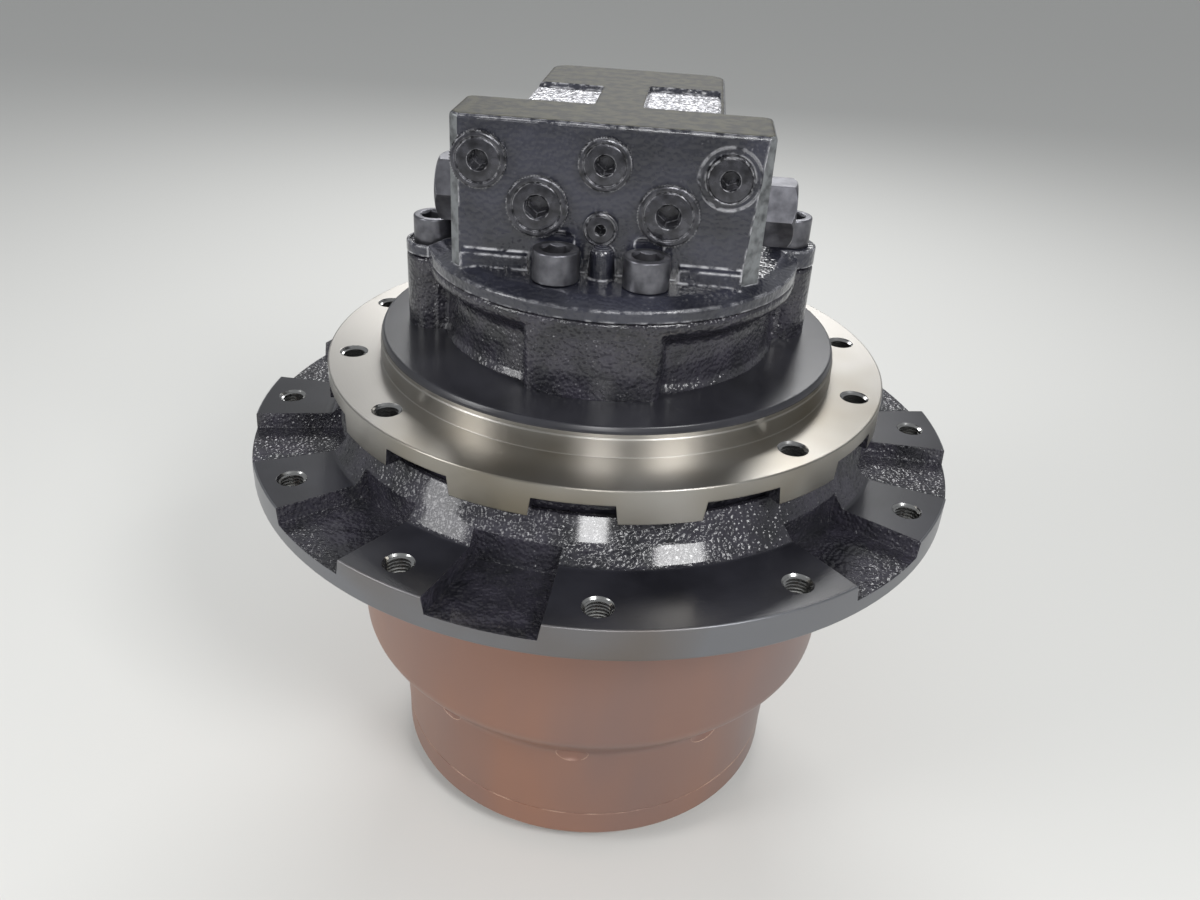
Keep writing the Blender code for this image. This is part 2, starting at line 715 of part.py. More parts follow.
def spindle(material):
    """Fixed spindle: carrier end, bearing seats, frame flange and motor casing in one casting."""
    neck = SEAL_IN_R - RUNNING
    skirt_in = SEAL_OUT_R + RUNNING
    skirt_out = skirt_in + SKIRT_T
    skirt_z = SEAL_MEET_Z + 0.005
    outer = [(SPINDLE_BORE_R, SPINDLE_Z), (SPINDLE_NOSE_R, SPINDLE_Z), (SPINDLE_NOSE_R, BEARING_LOW_Z + GAP)]
    outer += [(BEARING_BORE_R, BEARING_LOW_Z + GAP), (BEARING_BORE_R, SHOULDER_Z), (neck, SHOULDER_Z)]
    outer += [(neck, SEAL_ROOF_Z), (skirt_in, SEAL_ROOF_Z), (skirt_in, skirt_z), (skirt_out, skirt_z)]
    outer += [(skirt_out, TAB_Z), (FRAME_FLANGE_R, TAB_Z), (FRAME_FLANGE_R, FRAME_FACE_Z), (PILOT_R, FRAME_FACE_Z)]
    outer += [(PILOT_R, FRAME_FACE_Z + PILOT_H), (DISC_R, DISC_TOP_Z), (CASING_R, DISC_TOP_Z)]
    outer += [(CASING_R, CASING_TOP_Z - CASING_RIM_H * 1.8), (CASING_RIM_R, CASING_TOP_Z - CASING_RIM_H)]
    outer += [(CASING_RIM_R, CASING_TOP_Z)]
    inner = [(CASING_BORE_R, CASING_TOP_Z), (CASING_BORE_R, BRAKE_Z), (BRAKE_LEDGE_R, BRAKE_Z)]
    inner += [(BRAKE_LEDGE_R, MOTOR_FLOOR_Z), (SHAFT_BEARING_R, MOTOR_FLOOR_Z)]
    inner += [(SHAFT_BEARING_R, SHAFT_BEARING_Z), (SPINDLE_BORE_R, SHAFT_BEARING_Z)]
    body = revolve(outer + inner, SEG_BIG)
    low = DISC_TOP_Z - 0.001
    lobes = [prism([wide_lobe(-math.pi / 2)], low, CASING_TOP_Z), prism([wide_lobe(math.pi / 2)], low, CASING_TOP_Z)]
    for angle in SIDE_BOLT_ANGLES:
        x, y = on_circle(SIDE_BOLT_R, angle)
        lobes.append(prism([circle(BOSS_R, SEG_BOLT, (x, y))], low, CASING_TOP_Z))
    body = add(body, lobes)
    tools = []
    for k in range(FRAME_HOLES):
        angle = math.radians(15) + 2 * math.pi * k / FRAME_HOLES
        step = 2 * math.pi / FRAME_HOLES
        outline = sector(skirt_out + 0.003, FRAME_FLANGE_R + 0.01, angle + step / 2, step - TAB_ANGLE)
        tools.append(prism([outline], TAB_Z - 0.004, TAB_Z + TAB_DEPTH))
        if k not in FRAME_BLANKS:
            x, y = on_circle(FRAME_FLANGE_R - FRAME_HOLE_EDGE, angle)
            tools.append(tapped_hole(FRAME_FACE_Z, FRAME_FLANGE_T + 0.004, (x, y)))
    for angle in STAGE_2_ANGLES:
        x, y = on_circle(CENTRES_2, angle)
        tools.append(prism([circle(PIN_2_R + GAP, SEG_PIN, (x, y))], SPINDLE_Z - 0.002, SPINDLE_Z + PIN_2_DEPTH))
    body = cut(body, tools)
    screws = []
    for x, y, seat in bolt_places():
        screws.append(prism([circle(BOLT_R + GAP, SEG_BOLT, (x, y))], seat - BOLT_DEPTH - 0.002, CASING_TOP_Z + 0.002))
    body = cut(body, screws)
    return place("spindle", body, material)


def box(x0, x1, y0, y1, z0, z1, chamfer=0.0):
    """Block with its upright edges chamfered."""
    c = chamfer
    if c > 0:
        outline = [(x0 + c, y0), (x1 - c, y0), (x1, y0 + c), (x1, y1 - c)]
        outline += [(x1 - c, y1), (x0 + c, y1), (x0, y1 - c), (x0, y0 + c)]
    else:
        outline = [(x0, y0), (x1, y0), (x1, y1), (x0, y1)]
    return prism([outline], z0, z1)


def rear_cover(material):
    """Valve block that closes the motor and carries its plugs, ports and spool."""
    inside = CASING_BORE_R - GAP
    edge = COVER_Z + COVER_EDGE_H
    sunk = bolt_places()[2 + SUNK_BOLT]
    profile = [(SHAFT_END_R + GAP, SPIGOT_Z), (inside, SPIGOT_Z), (inside, COVER_Z)]
    profile += [(CASING_RIM_R, COVER_Z), (CASING_RIM_R, edge), (COVER_TOP_R, COVER_TOP_Z)]
    profile += [(0, COVER_TOP_Z), (0, SPIGOT_Z + 0.012), (SHAFT_END_R + GAP, SPIGOT_Z + 0.012)]
    body = revolve(profile, SEG_BIG)
    low = COVER_TOP_Z - 0.004
    face = -BLOCK_FACE_Y
    parts = []
    for angle in SIDE_BOLT_ANGLES:
        x, y = on_circle(SIDE_BOLT_R, angle)
        parts.append(prism([circle(BOSS_R, SEG_BOLT, (x, y))], COVER_Z, edge if y < 0 else COVER_TOP_Z))
    body = add(body, parts)
    head = box(-BLOCK_HALF_W, BLOCK_HALF_W, face, face + BLOCK_HEAD_DEPTH, low, BLOCK_TOP_Z, BLOCK_CHAMFER)
    corner = [v for v in head.verts if v.co.z < COVER_TOP_Z and v.co.x > 0 and v.co.y < face + 2 * BLOCK_CHAMFER]
    for vert in corner:
        if vert.co.x > BLOCK_HALF_W - FINE:
            vert.co.y = face + BLOCK_FOOT_CHAMFER
        else:
            vert.co.x = BLOCK_HALF_W - BLOCK_FOOT_CHAMFER
    left, right = TOWER_X - TOWER_HALF_W, TOWER_X + TOWER_HALF_W
    within = face + BLOCK_HEAD_DEPTH / 2
    tower = box(left, right, within, TOWER_BACK_Y, low, BLOCK_TOP_Z, BLOCK_CHAMFER)
    ports = box(left, right, within, PORT_HEAD_BACK_Y, COVER_TOP_Z + PORT_HEAD_H, BLOCK_TOP_Z, PORT_HEAD_CHAMFER)
    shelf = box(-SHELF_HALF_W, SHELF_HALF_W, within, SHELF_BACK_Y, low, COVER_TOP_Z + SHELF_H)
    body = add(body, [head, tower, shelf])
    body = add(body, [ports])
    floor, above = BLOCK_TOP_Z - POCKET_DEPTH, BLOCK_TOP_Z + 0.004
    tools = [box(left - 0.002, -POCKET_IN_X, POCKET_FRONT_Y, POCKET_BACK_LEFT_Y, floor, above),
             box(POCKET_IN_X, right - POCKET_WALL, POCKET_FRONT_Y, POCKET_BACK_RIGHT_Y, floor, above, 0.002)]
    for side in (-1, 1):
        tools.append(prism([circle(HEAD_R + HEAD_CLEARANCE, SEG_BOLT, (side * BOLT_X, -BOLT_FRONT_Y))],
                           COVER_TOP_Z, COVER_TOP_Z + HEAD_H + 0.006))
        shank = SPOOL_CAP_SHANK_R + GAP
        start = (side * (BLOCK_HALF_W + 0.002), SPOOL_Y, COVER_TOP_Z + SPOOL_H)
        tools.append(along_x(prism([circle(shank, SEG_PIN)], 0, SPOOL_CAP_SHANK_L + 0.002 + GAP), start, -side))
        port = (side * PORT_X, PORT_HEAD_BACK_Y + 0.002, COVER_TOP_Z + PORT_H)
        tools.append(along_y(prism([circle(PORT_R, SEG_PIN)], 0, PORT_DEPTH + 0.002), port, -1))
    tools.append(prism([circle(HEAD_R + HEAD_CLEARANCE, SEG_PIN, sunk[:2])], sunk[2], COVER_TOP_Z + 0.002))
    drain = (0, PORT_HEAD_BACK_Y + 0.002, COVER_TOP_Z + DRAIN_H)
    tools.append(along_y(prism([circle(DRAIN_R, SEG_BOLT)], 0, DRAIN_DEPTH + 0.002), drain, -1))
    body = cut(body, tools)
    reach = BLOCK_HALF_W - SPOOL_CAP_SHANK_L + 0.002
    tools = [along_x(prism([circle(SPOOL_R + GAP, SEG_PIN)], 0, 2 * reach),
                     (-reach, SPOOL_Y, COVER_TOP_Z + SPOOL_H))]
    for x, y, seat in bolt_places():
        tools.append(prism([circle(BOLT_R + GAP, SEG_BOLT, (x, y))], SPIGOT_Z - 0.002, seat + 0.002))
    for _, x, height, radius, _ in FRONT_PLUGS:
        start = (x, face - 0.002, COVER_TOP_Z + height)
        shank = radius * PLUG_SHANK_SHARE + GAP
        tools.append(along_y(prism([circle(shank, SEG_BOLT)], 0, PLUG_SHANK + 0.002), start))
    body = cut(body, tools)
    return place("rear_cover", body, material)


def face_plug(name, x, height, radius, key, material):
    """Socket plug screwed into the valve block's face, standing a little proud."""
    seat = -BLOCK_FACE_Y - GAP
    z = COVER_TOP_Z + height
    shank = radius * PLUG_SHANK_SHARE
    tall = PLUG_PROUD
    profile = [(0, 2 * GAP - PLUG_SHANK), (shank, 2 * GAP - PLUG_SHANK), (shank, 0)]
    profile += [(radius, 0), (radius, tall), (0, tall)]
    body = revolve(profile, SEG_BOLT)
    body = cut(body, [prism([hexagon(key)], -0.004, tall + 0.002)])
    along_y(body, (x, seat, z), -1)
    return place(name, body, material, axis=(x, seat, z))


def spool_cap(name, side, length, material):
    """Hexagon cap that closes one end of the spool bore and holds its centring spring."""
    profile = [(0, -SPOOL_CAP_SHANK_L), (SPOOL_CAP_SHANK_R, -SPOOL_CAP_SHANK_L), (SPOOL_CAP_SHANK_R, 0.002), (0, 0.002)]
    body = revolve(profile, SEG_PIN)
    body = add(body, [prism([hexagon(SPOOL_CAP_HEX, start=math.pi / 2)], GAP, length)])
    at = (side * BLOCK_HALF_W, SPOOL_Y, COVER_TOP_Z + SPOOL_H)
    along_x(body, at, side)
    return place(name, body, material, axis=at)


def spool(material):
    """Counterbalance spool: two lands, a waist and the ends that the springs push on."""
    z0 = -SPOOL_HALF_L
    profile = [(0, z0), (SPOOL_R, z0), (SPOOL_R, z0 + SPOOL_LAND)]
    profile += [(SPOOL_NECK_R, z0 + SPOOL_LAND + 0.002), (SPOOL_NECK_R, -SPOOL_LAND / 4)]
    profile += [(SPOOL_R, -SPOOL_LAND / 4), (SPOOL_R, SPOOL_LAND / 4), (SPOOL_NECK_R, SPOOL_LAND / 4)]
    profile += [(SPOOL_NECK_R, -z0 - SPOOL_LAND - 0.002), (SPOOL_R, -z0 - SPOOL_LAND)]
    profile += [(SPOOL_R, -z0), (0, -z0)]
    at = (0, SPOOL_Y, COVER_TOP_Z + SPOOL_H)
    return place("counterbalance_spool", along_x(revolve(profile, SEG_PIN), at), material, axis=at)


def planet_gear(name, teeth, centre, angle, low, high, bore, material):
    outline = gear_outline(teeth, planet_phase(teeth, angle, RING_PHASE), centre)
    body = prism([outline, circle(bore, SEG_PIN, centre)], low, high)
    return place(name, body, material, axis=(*centre, low))


def pin(name, centre, radius, head_z, top_z, material):
    """Planet pin with the flange that keeps its planet on."""
    wide = radius + PIN_HEAD_EXTRA
    profile = [(0, head_z), (wide, head_z), (wide, head_z + PIN_HEAD_H), (radius, head_z + PIN_HEAD_H)]
    profile += [(radius, top_z), (0, top_z)]
    body = moved(revolve(profile, SEG_PIN), Matrix.Translation((*centre, 0)))
    return place(name, body, material, axis=(*centre, head_z))


def first_stage(gear_steel, pin_steel, iron):
    """Sun on the motor shaft, three planets and the carrier that turns the second sun."""
    low = PLANET_1_Z
    high = low + STAGE_1_WIDTH
    first = STAGE_1_ANGLES[0]
    phase = sun_phase(SUN_1_TEETH, PLANET_1_TEETH, first, planet_phase(PLANET_1_TEETH, first, RING_PHASE))
    body = prism([gear_outline(SUN_1_TEETH, phase), circle(SUN_1_BORE_R, SEG_PIN)], low - 0.0015, high + 0.0015)
    place("sun_gear_first", body, gear_steel)
    outline = []
    steps = 6
    for angle in STAGE_1_ANGLES:
        outline += arc(CARRIER_R, angle - 0.45, angle + 0.45, steps)
        outline += arc(CARRIER_R - CARRIER_WAIST, angle + 0.75, angle + 2 * math.pi / PLANETS_1 - 0.75, 2)
    holes = [circle(sun_2_shank_r() + GAP, SEG_MID)]
    for k, angle in enumerate(STAGE_1_ANGLES, start=1):
        centre = on_circle(CENTRES_1, angle)
        planet_gear("first_planet_%d" % k, PLANET_1_TEETH, centre, angle, low, high, PIN_1_R + RUNNING, gear_steel)
        pin("first_pin_%d" % k, centre, PIN_1_R, low - GAP - PIN_HEAD_H, CARRIER_Z + CARRIER_T - GAP, pin_steel)
        holes.append(circle(PIN_1_R + GAP, SEG_PIN, centre))
    place("first_carrier", prism([outline] + holes, CARRIER_Z, CARRIER_Z + CARRIER_T), iron)


def sun_2_shank_r():
    """The second sun's spline, just under the roots of its teeth."""
    return SUN_2_TEETH * MODULE / 2 - DEDENDUM * MODULE - GAP


def second_stage(gear_steel, pin_steel):
    """Hollow sun driven by the first carrier, and four planets on pins in the spindle."""
    low = PLANET_2_Z
    high = low + STAGE_2_WIDTH
    first = STAGE_2_ANGLES[0]
    phase = sun_phase(SUN_2_TEETH, PLANET_2_TEETH, first, planet_phase(PLANET_2_TEETH, first, RING_PHASE))
    bottom = CARRIER_Z + GAP
    body = prism([gear_outline(SUN_2_TEETH, phase)], low - 0.002, high + 0.001)
    shank = prism([circle(sun_2_shank_r(), SEG_MID)], bottom, low + 0.004)
    body = add(body, [shank])
    body = cut(body, [prism([circle(SUN_2_BORE_R, SEG_PIN)], bottom - 0.002, high + 0.004)])
    place("sun_gear_second", body, gear_steel)
    for k, angle in enumerate(STAGE_2_ANGLES, start=1):
        centre = on_circle(CENTRES_2, angle)
        planet_gear("second_planet_%d" % k, PLANET_2_TEETH, centre, angle, low, high, PIN_2_R + RUNNING, gear_steel)
        pin("second_pin_%d" % k, centre, PIN_2_R, low - GAP - PIN_HEAD_H, SPINDLE_Z + PIN_2_DEPTH - GAP, pin_steel)


def motor(steel, bronze, iron):
    """Shaft, its bearing, swash plate, cylinder barrel, valve plate and parking brake."""
    base = PLANET_1_Z
    sun_top = base + STAGE_1_WIDTH + 0.0015 + GAP
    end_r = SUN_1_BORE_R - GAP
    shoulder = SHAFT_BEARING_Z + GAP
    top = SPIGOT_Z + 0.012 - GAP
    profile = [(0, base), (end_r, base), (end_r, sun_top), (SHAFT_THIN_R, sun_top), (SHAFT_THIN_R, shoulder - 0.004)]
    profile += [(SHAFT_R, shoulder - 0.004), (SHAFT_R, VALVE_PLATE_Z - GAP), (SHAFT_END_R, VALVE_PLATE_Z - GAP)]
    profile += [(SHAFT_END_R, top), (0, top)]
    place("drive_shaft", revolve(profile, SEG_PIN), steel)
    low = SHAFT_BEARING_Z + GAP
    bore, wall = SHAFT_R + RUNNING, SHAFT_BEARING_R - GAP
    ring = [(bore, low), (wall, low), (wall, low + SHAFT_BEARING_W), (bore, low + SHAFT_BEARING_W)]
    place("shaft_bearing", revolve(ring, SEG_MID), steel)
    floor = MOTOR_FLOOR_Z + GAP
    body = prism([circle(SWASH_R, SEG_MID)], floor, floor + 3 * SWASH_MID_H)
    reach = 3 * SWASH_R
    wedge = box(-reach, reach, -reach, reach, 0, reach)
    tilt = Matrix.Translation((0, 0, floor + SWASH_MID_H)) @ Matrix.Rotation(SWASH_TILT, 4, "X")
    bore = prism([circle(SHAFT_R + SWASH_CLEARANCE, SEG_PIN)], floor - 0.002, floor + 4 * SWASH_MID_H)
    body = cut(body, [moved(wedge, tilt)])
    place("swash_plate", cut(body, [bore]), iron)
    body = prism([circle(BARREL_R, SEG_MID), circle(SHAFT_R + GAP, SEG_PIN)], BARREL_Z, BARREL_Z + BARREL_H)
    bores = []
    for k in range(PISTONS):
        centre = on_circle(PISTON_PITCH_R, 2 * math.pi * k / PISTONS)
        bores.append(prism([circle(PISTON_R, SEG_HOLE, centre)], BARREL_Z - 0.002, BARREL_Z + BARREL_H - 0.008))
    place("cylinder_barrel", cut(body, bores), steel)
    kidneys = []
    for side in (0, math.pi):
        start, end = side + math.radians(20), side + math.radians(160)
        kidneys.append(arc(PISTON_PITCH_R + 0.005, start, end, 5) + arc(PISTON_PITCH_R - 0.005, end, start, 5))
    outline = [circle(BARREL_R, SEG_MID), circle(SHAFT_END_R + 0.002, SEG_PIN)] + kidneys
    place("valve_plate", prism(outline, VALVE_PLATE_Z, VALVE_PLATE_Z + VALVE_PLATE_T), bronze)
    low = BRAKE_Z + GAP
    outline = [circle(BRAKE_DISC_R, SEG_MID), circle(BARREL_R + GAP * 2, SEG_MID)]
    place("brake_disc", prism(outline, low, low + BRAKE_PLATE_T), bronze)
    low += BRAKE_PLATE_T + GAP
    wall = CASING_BORE_R - GAP
    outline = [circle(wall, SEG_MID), circle(BRAKE_PISTON_IN_R, SEG_MID)]
    place("brake_plate", prism(outline, low, low + BRAKE_PLATE_T), steel)
    low += BRAKE_PLATE_T + GAP
    step = BRAKE_PISTON_H / 2
    profile = [(BRAKE_PISTON_IN_R, low), (wall - 0.004, low), (wall - 0.004, low + step), (wall, low + step)]
    profile += [(wall, low + BRAKE_PISTON_H), (BRAKE_PISTON_IN_R, low + BRAKE_PISTON_H)]
    place("brake_piston", revolve(profile, SEG_MID), iron)


def build():
    clear_scene()
    black = finish("black_paint", (0.02, 0.02, 0.022), 0.35, 0.0)
    primer = finish("copper_primer", (0.45, 0.25, 0.16), 0.5, 0.2)
    bright = finish("machined_steel", (0.55, 0.53, 0.5), 0.35, 1.0)
    plug_black = finish("black_oxide", (0.04, 0.04, 0.045), 0.4, 0.8)
    gear_steel = finish("gear_steel", (0.42, 0.42, 0.43), 0.3, 1.0)
    bronze = finish("bronze", (0.55, 0.38, 0.18), 0.35, 1.0)
    iron = finish("cast_iron", (0.2, 0.2, 0.21), 0.55, 0.9)
    gearbox_cover(primer)
    for label, (x, y) in zip(("filler_plug", "level_plug", "drain_plug"), plug_places()):
        oil_plug(label, x, y, plug_black)
    hub_drum(primer)
    bearing_pair(bright, gear_steel, iron)
    face_seal(bright)
    spindle(black)
    first_stage(gear_steel, bright, iron)
    second_stage(gear_steel, bright)
    motor(bright, bronze, iron)
    rear_cover(black)
    for name, x, height, radius, key in FRONT_PLUGS:
        face_plug(name, x, height, radius, key, plug_black)
    for label, side, length in zip(("left", "right"), (-1, 1), SPOOL_CAP_LENGTHS):
        spool_cap("spool_cap_" + label, side, length, plug_black)
    spool(bright)
    for k, (x, y, seat) in enumerate(bolt_places(), start=1):
        cap_screw("cover_screw_%d" % k, x, y, seat, plug_black)


build()
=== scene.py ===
"""Excavator final drive: the detailed look of the part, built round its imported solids.

The file follows the assembly: gearbox cover, gears, hub drum, bearings, spindle,
motor, rear cover with its plugs and screws, and last the floor, lamps and camera.
"""

import math

import bmesh
import bpy
from mathutils import Matrix, Vector


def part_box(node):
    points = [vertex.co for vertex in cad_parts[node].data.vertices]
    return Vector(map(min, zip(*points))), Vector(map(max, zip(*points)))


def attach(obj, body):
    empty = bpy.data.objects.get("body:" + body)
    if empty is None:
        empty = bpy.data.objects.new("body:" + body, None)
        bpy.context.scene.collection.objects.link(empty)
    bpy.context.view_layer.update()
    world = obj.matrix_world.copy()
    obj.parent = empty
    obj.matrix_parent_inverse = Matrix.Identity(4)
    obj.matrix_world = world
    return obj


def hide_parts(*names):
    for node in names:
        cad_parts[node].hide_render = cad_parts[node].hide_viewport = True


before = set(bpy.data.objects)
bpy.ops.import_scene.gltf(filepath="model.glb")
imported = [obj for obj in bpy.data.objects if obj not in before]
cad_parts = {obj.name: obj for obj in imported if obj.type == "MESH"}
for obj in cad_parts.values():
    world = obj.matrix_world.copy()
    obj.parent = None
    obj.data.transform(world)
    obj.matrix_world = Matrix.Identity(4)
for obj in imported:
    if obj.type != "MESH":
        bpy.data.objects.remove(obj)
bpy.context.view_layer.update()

# Gearbox cover
# The dished iron cover that the drive stands on: cast, turned on its flat and its rim, and
# primed together with the drum. Twelve socket head cap screws hold it to the drum.


def linear(colour):
    """Linear colour of an sRGB hex value."""
    parts = [int(colour[k:k + 2], 16) / 255 for k in (1, 3, 5)]
    return (*[c / 12.92 if c <= 0.04045 else ((c + 0.055) / 1.055) ** 2.4 for c in parts], 1.0)


def add_node(tree, kind, inputs=None, **settings):
    """Add a node with its settings; an input is a value or another node's output."""
    made = tree.nodes.new(kind)
    for name, value in settings.items():
        setattr(made, name, value)
    for key, value in (inputs or {}).items():
        if isinstance(value, bpy.types.NodeSocket):
            tree.links.new(value, made.inputs[key])
        else:
            made.inputs[key].default_value = value
    return made


def new_finish(name, colour, roughness, metallic=0.0, **shader_values):
    """A material with its shader's plain values; gives it, and its tree, shader and coordinates as one."""
    made = bpy.data.materials.new(name)
    made.use_nodes = True
    tree = made.node_tree
    shader = tree.nodes["Principled BSDF"]
    values = {"Base Color": linear(colour), "Roughness": roughness, "Metallic": metallic}
    values.update({key.replace("_", " "): value for key, value in shader_values.items()})
    for key, value in values.items():
        shader.inputs[key].default_value = value
    coords = add_node(tree, "ShaderNodeTexCoord").outputs["Object"]
    return made, (tree, shader, coords)


def tint(look, size, colours, low=0.35, high=0.65, stretch=(1, 1, 1)):
    """Cloudy change between two colours, with patches of one size in metres."""
    tree, shader, coords = look
    scaled = add_node(tree, "ShaderNodeMapping", {"Vector": coords, "Scale": stretch})
    cloud = add_node(tree, "ShaderNodeTexNoise", {"Vector": scaled.outputs[0], "Scale": 1 / size,
                                                  "Detail": 3.0})
    share = add_node(tree, "ShaderNodeMapRange", {0: cloud.outputs[0], 1: low, 2: high})
    mix = add_node(tree, "ShaderNodeMix", {0: share.outputs[0], 6: linear(colours[0]), 7: linear(colours[1])},
                   data_type="RGBA")
    tree.links.new(mix.outputs[2], shader.inputs["Base Color"])


def roughened(look, layers, corner=0.0):
    """Bump from noise layers of (grain size, depth) in metres; corner rounds the edges' shading."""
    (tree, shader, coords), normal = look, None
    if corner:
        normal = add_node(tree, "ShaderNodeBevel", {"Radius": corner}, samples=4).outputs[0]
    for size, depth in layers:
        grain = add_node(tree, "ShaderNodeTexNoise", {"Vector": coords, "Scale": 1 / size, "Detail": 2.0})
        inputs = {"Height": grain.outputs[0], "Distance": depth, "Strength": 1.0}
        if normal is not None:
            inputs["Normal"] = normal
        normal = add_node(tree, "ShaderNodeBump", inputs).outputs[0]
    tree.links.new(normal, shader.inputs["Normal"])


def turning_marks(look, pitch, depth, corner=0.0):
    """Fine grooves round the Z axis, as a lathe tool leaves them, with spacing and depth in metres."""
    tree, shader, coords = look
    parts = add_node(tree, "ShaderNodeSeparateXYZ", {0: coords})
    flat = add_node(tree, "ShaderNodeCombineXYZ", {0: parts.outputs[0], 1: parts.outputs[1]})
    radius = add_node(tree, "ShaderNodeVectorMath", {0: flat.outputs[0]}, operation="LENGTH")
    along = add_node(tree, "ShaderNodeCombineXYZ", {0: radius.outputs["Value"], 2: parts.outputs[2]})
    groove = add_node(tree, "ShaderNodeTexNoise", {"Vector": along.outputs[0], "Scale": 1 / pitch,
                                                   "Detail": 2.0})
    inputs = {"Height": groove.outputs[0], "Distance": depth}
    if corner:
        inputs["Normal"] = add_node(tree, "ShaderNodeBevel", {"Radius": corner}, samples=4).outputs[0]
    bump = add_node(tree, "ShaderNodeBump", inputs)
    tree.links.new(bump.outputs[0], shader.inputs["Normal"])


def pebbled(look, size, depth, corner=0.001):
    """Skin of a sand casting: small rounded pebbles on a wavy ground, in metres."""
    tree, shader, coords = look
    rounded = add_node(tree, "ShaderNodeBevel", {"Radius": corner}, samples=4).outputs[0]
    waves = add_node(tree, "ShaderNodeTexNoise", {"Vector": coords, "Scale": 0.25 / size, "Detail": 1.0})
    ground = add_node(tree, "ShaderNodeBump", {"Height": waves.outputs[0], "Distance": 2 * depth,
                                               "Normal": rounded})
    stones = add_node(tree, "ShaderNodeTexVoronoi", {"Vector": coords, "Scale": 1 / size, "Smoothness": 0.6},
                      feature="SMOOTH_F1")
    bump = add_node(tree, "ShaderNodeBump", {"Height": stones.outputs["Distance"], "Distance": depth,
                                             "Normal": ground.outputs[0]}, invert=True)
    tree.links.new(bump.outputs[0], shader.inputs["Normal"])


def worn_edges(look, worn, radius, chip, low=0.006, high=0.04):
    """Rubbed, chipped edges: a lighter colour where a rounded normal leaves the true one."""
    tree, shader, coords = look
    rounded = add_node(tree, "ShaderNodeBevel", {"Radius": radius}, samples=6).outputs[0]
    flat = add_node(tree, "ShaderNodeNewGeometry").outputs["True Normal"]
    agree = add_node(tree, "ShaderNodeVectorMath", {0: rounded, 1: flat}, operation="DOT_PRODUCT")
    edge = add_node(tree, "ShaderNodeMapRange", {0: agree.outputs["Value"], 1: 1 - low, 2: 1 - high})
    flecks = add_node(tree, "ShaderNodeTexNoise", {"Vector": coords, "Scale": 1 / chip, "Detail": 3.0})
    chips = add_node(tree, "ShaderNodeMapRange", {0: flecks.outputs[0], 1: 0.42, 2: 0.58})
    share = add_node(tree, "ShaderNodeMath", {0: edge.outputs[0], 1: chips.outputs[0]}, operation="MULTIPLY")
    before = shader.inputs["Base Color"].links[0].from_socket
    mix = add_node(tree, "ShaderNodeMix", {0: share.outputs[0], 6: before, 7: linear(worn)}, data_type="RGBA")
    tree.links.new(mix.outputs[2], shader.inputs["Base Color"])


def on_circle(radius, angle):
    return (radius * math.cos(angle), radius * math.sin(angle))


def circle(radius, steps, centre=(0.0, 0.0), start=0.0):
    points = [on_circle(radius, start + 2 * math.pi * k / steps) for k in range(steps)]
    return [(x + centre[0], y + centre[1]) for x, y in points]


def hexagon(across_flats, centre=(0.0, 0.0), start=0.0):
    return circle(across_flats / math.sqrt(3), 6, centre, start)


def eased(points, steps=4):
    """Outline whose corners are rounded where a point has a third number, the length taken off."""
    smooth = []
    for k, point in enumerate(points):
        corner = Vector(point[:2])
        ease = point[2] if len(point) > 2 else 0
        if not ease:
            smooth.append(tuple(corner))
            continue
        before, after = Vector(points[k - 1][:2]), Vector(points[(k + 1) % len(points)][:2])
        start = corner + (before - corner).normalized() * ease
        end = corner + (after - corner).normalized() * ease
        for j in range(steps + 1):
            t = j / steps
            smooth.append(tuple(start * (1 - t) ** 2 + corner * 2 * t * (1 - t) + end * t * t))
    return smooth


def turned(profile, steps=144, start=0.0):
    """A closed profile of (radius, height) points turned about Z."""
    bm = bmesh.new()
    rings = []
    for radius, height in profile:
        if radius < 1e-7:
            rings.append([bm.verts.new((0, 0, height))])
        else:
            rings.append([bm.verts.new((x, y, height)) for x, y in circle(radius, steps, start=start)])
    for lower, upper in zip(rings, rings[1:] + rings[:1]):
        for k in range(steps):
            j = (k + 1) % steps
            face = []
            for ring, at in ((lower, k), (lower, j), (upper, j), (upper, k)):
                if ring[at % len(ring)] not in face:
                    face.append(ring[at % len(ring)])
            if len(face) > 2:
                bm.faces.new(face)
    bmesh.ops.recalc_face_normals(bm, faces=bm.faces)
    return bm


def bridged(low_outline, high_outline, low, high):
    """Solid between two outlines with the same number of points."""
    bm = bmesh.new()
    bottom = [bm.verts.new((x, y, low)) for x, y in low_outline]
    top = [bm.verts.new((x, y, high)) for x, y in high_outline]
    for k in range(len(bottom)):
        j = (k + 1) % len(bottom)
        bm.faces.new((bottom[k], bottom[j], top[j], top[k]))
    bm.faces.new(bottom)
    bm.faces.new(top)
    bmesh.ops.recalc_face_normals(bm, faces=bm.faces)
    return bm


def prism(outline, low, high):
    return bridged(outline, outline, low, high)


def moved(bm, matrix):
    bmesh.ops.transform(bm, matrix=matrix, verts=bm.verts)
    return bm


def shifted(bm, x=0.0, y=0.0, z=0.0):
    return moved(bm, Matrix.Translation((x, y, z)))


def together(parts):
    """Several meshes as one, each still a shell of its own."""
    whole = bmesh.new()
    for part in parts:
        mesh = bpy.data.meshes.new("shell")
        part.to_mesh(mesh)
        part.free()
        whole.from_mesh(mesh)
        bpy.data.meshes.remove(mesh)
    return whole


def as_object(name, bm):
    mesh = bpy.data.meshes.new(name)
    bm.to_mesh(mesh)
    bm.free()
    made = bpy.data.objects.new(name, mesh)
    bpy.context.scene.collection.objects.link(made)
    return made


def evaluated_mesh(thing):
    """The object's mesh with its modifiers applied, as a plain mesh."""
    seen = thing.evaluated_get(bpy.context.evaluated_depsgraph_get())
    return bpy.data.meshes.new_from_object(seen)


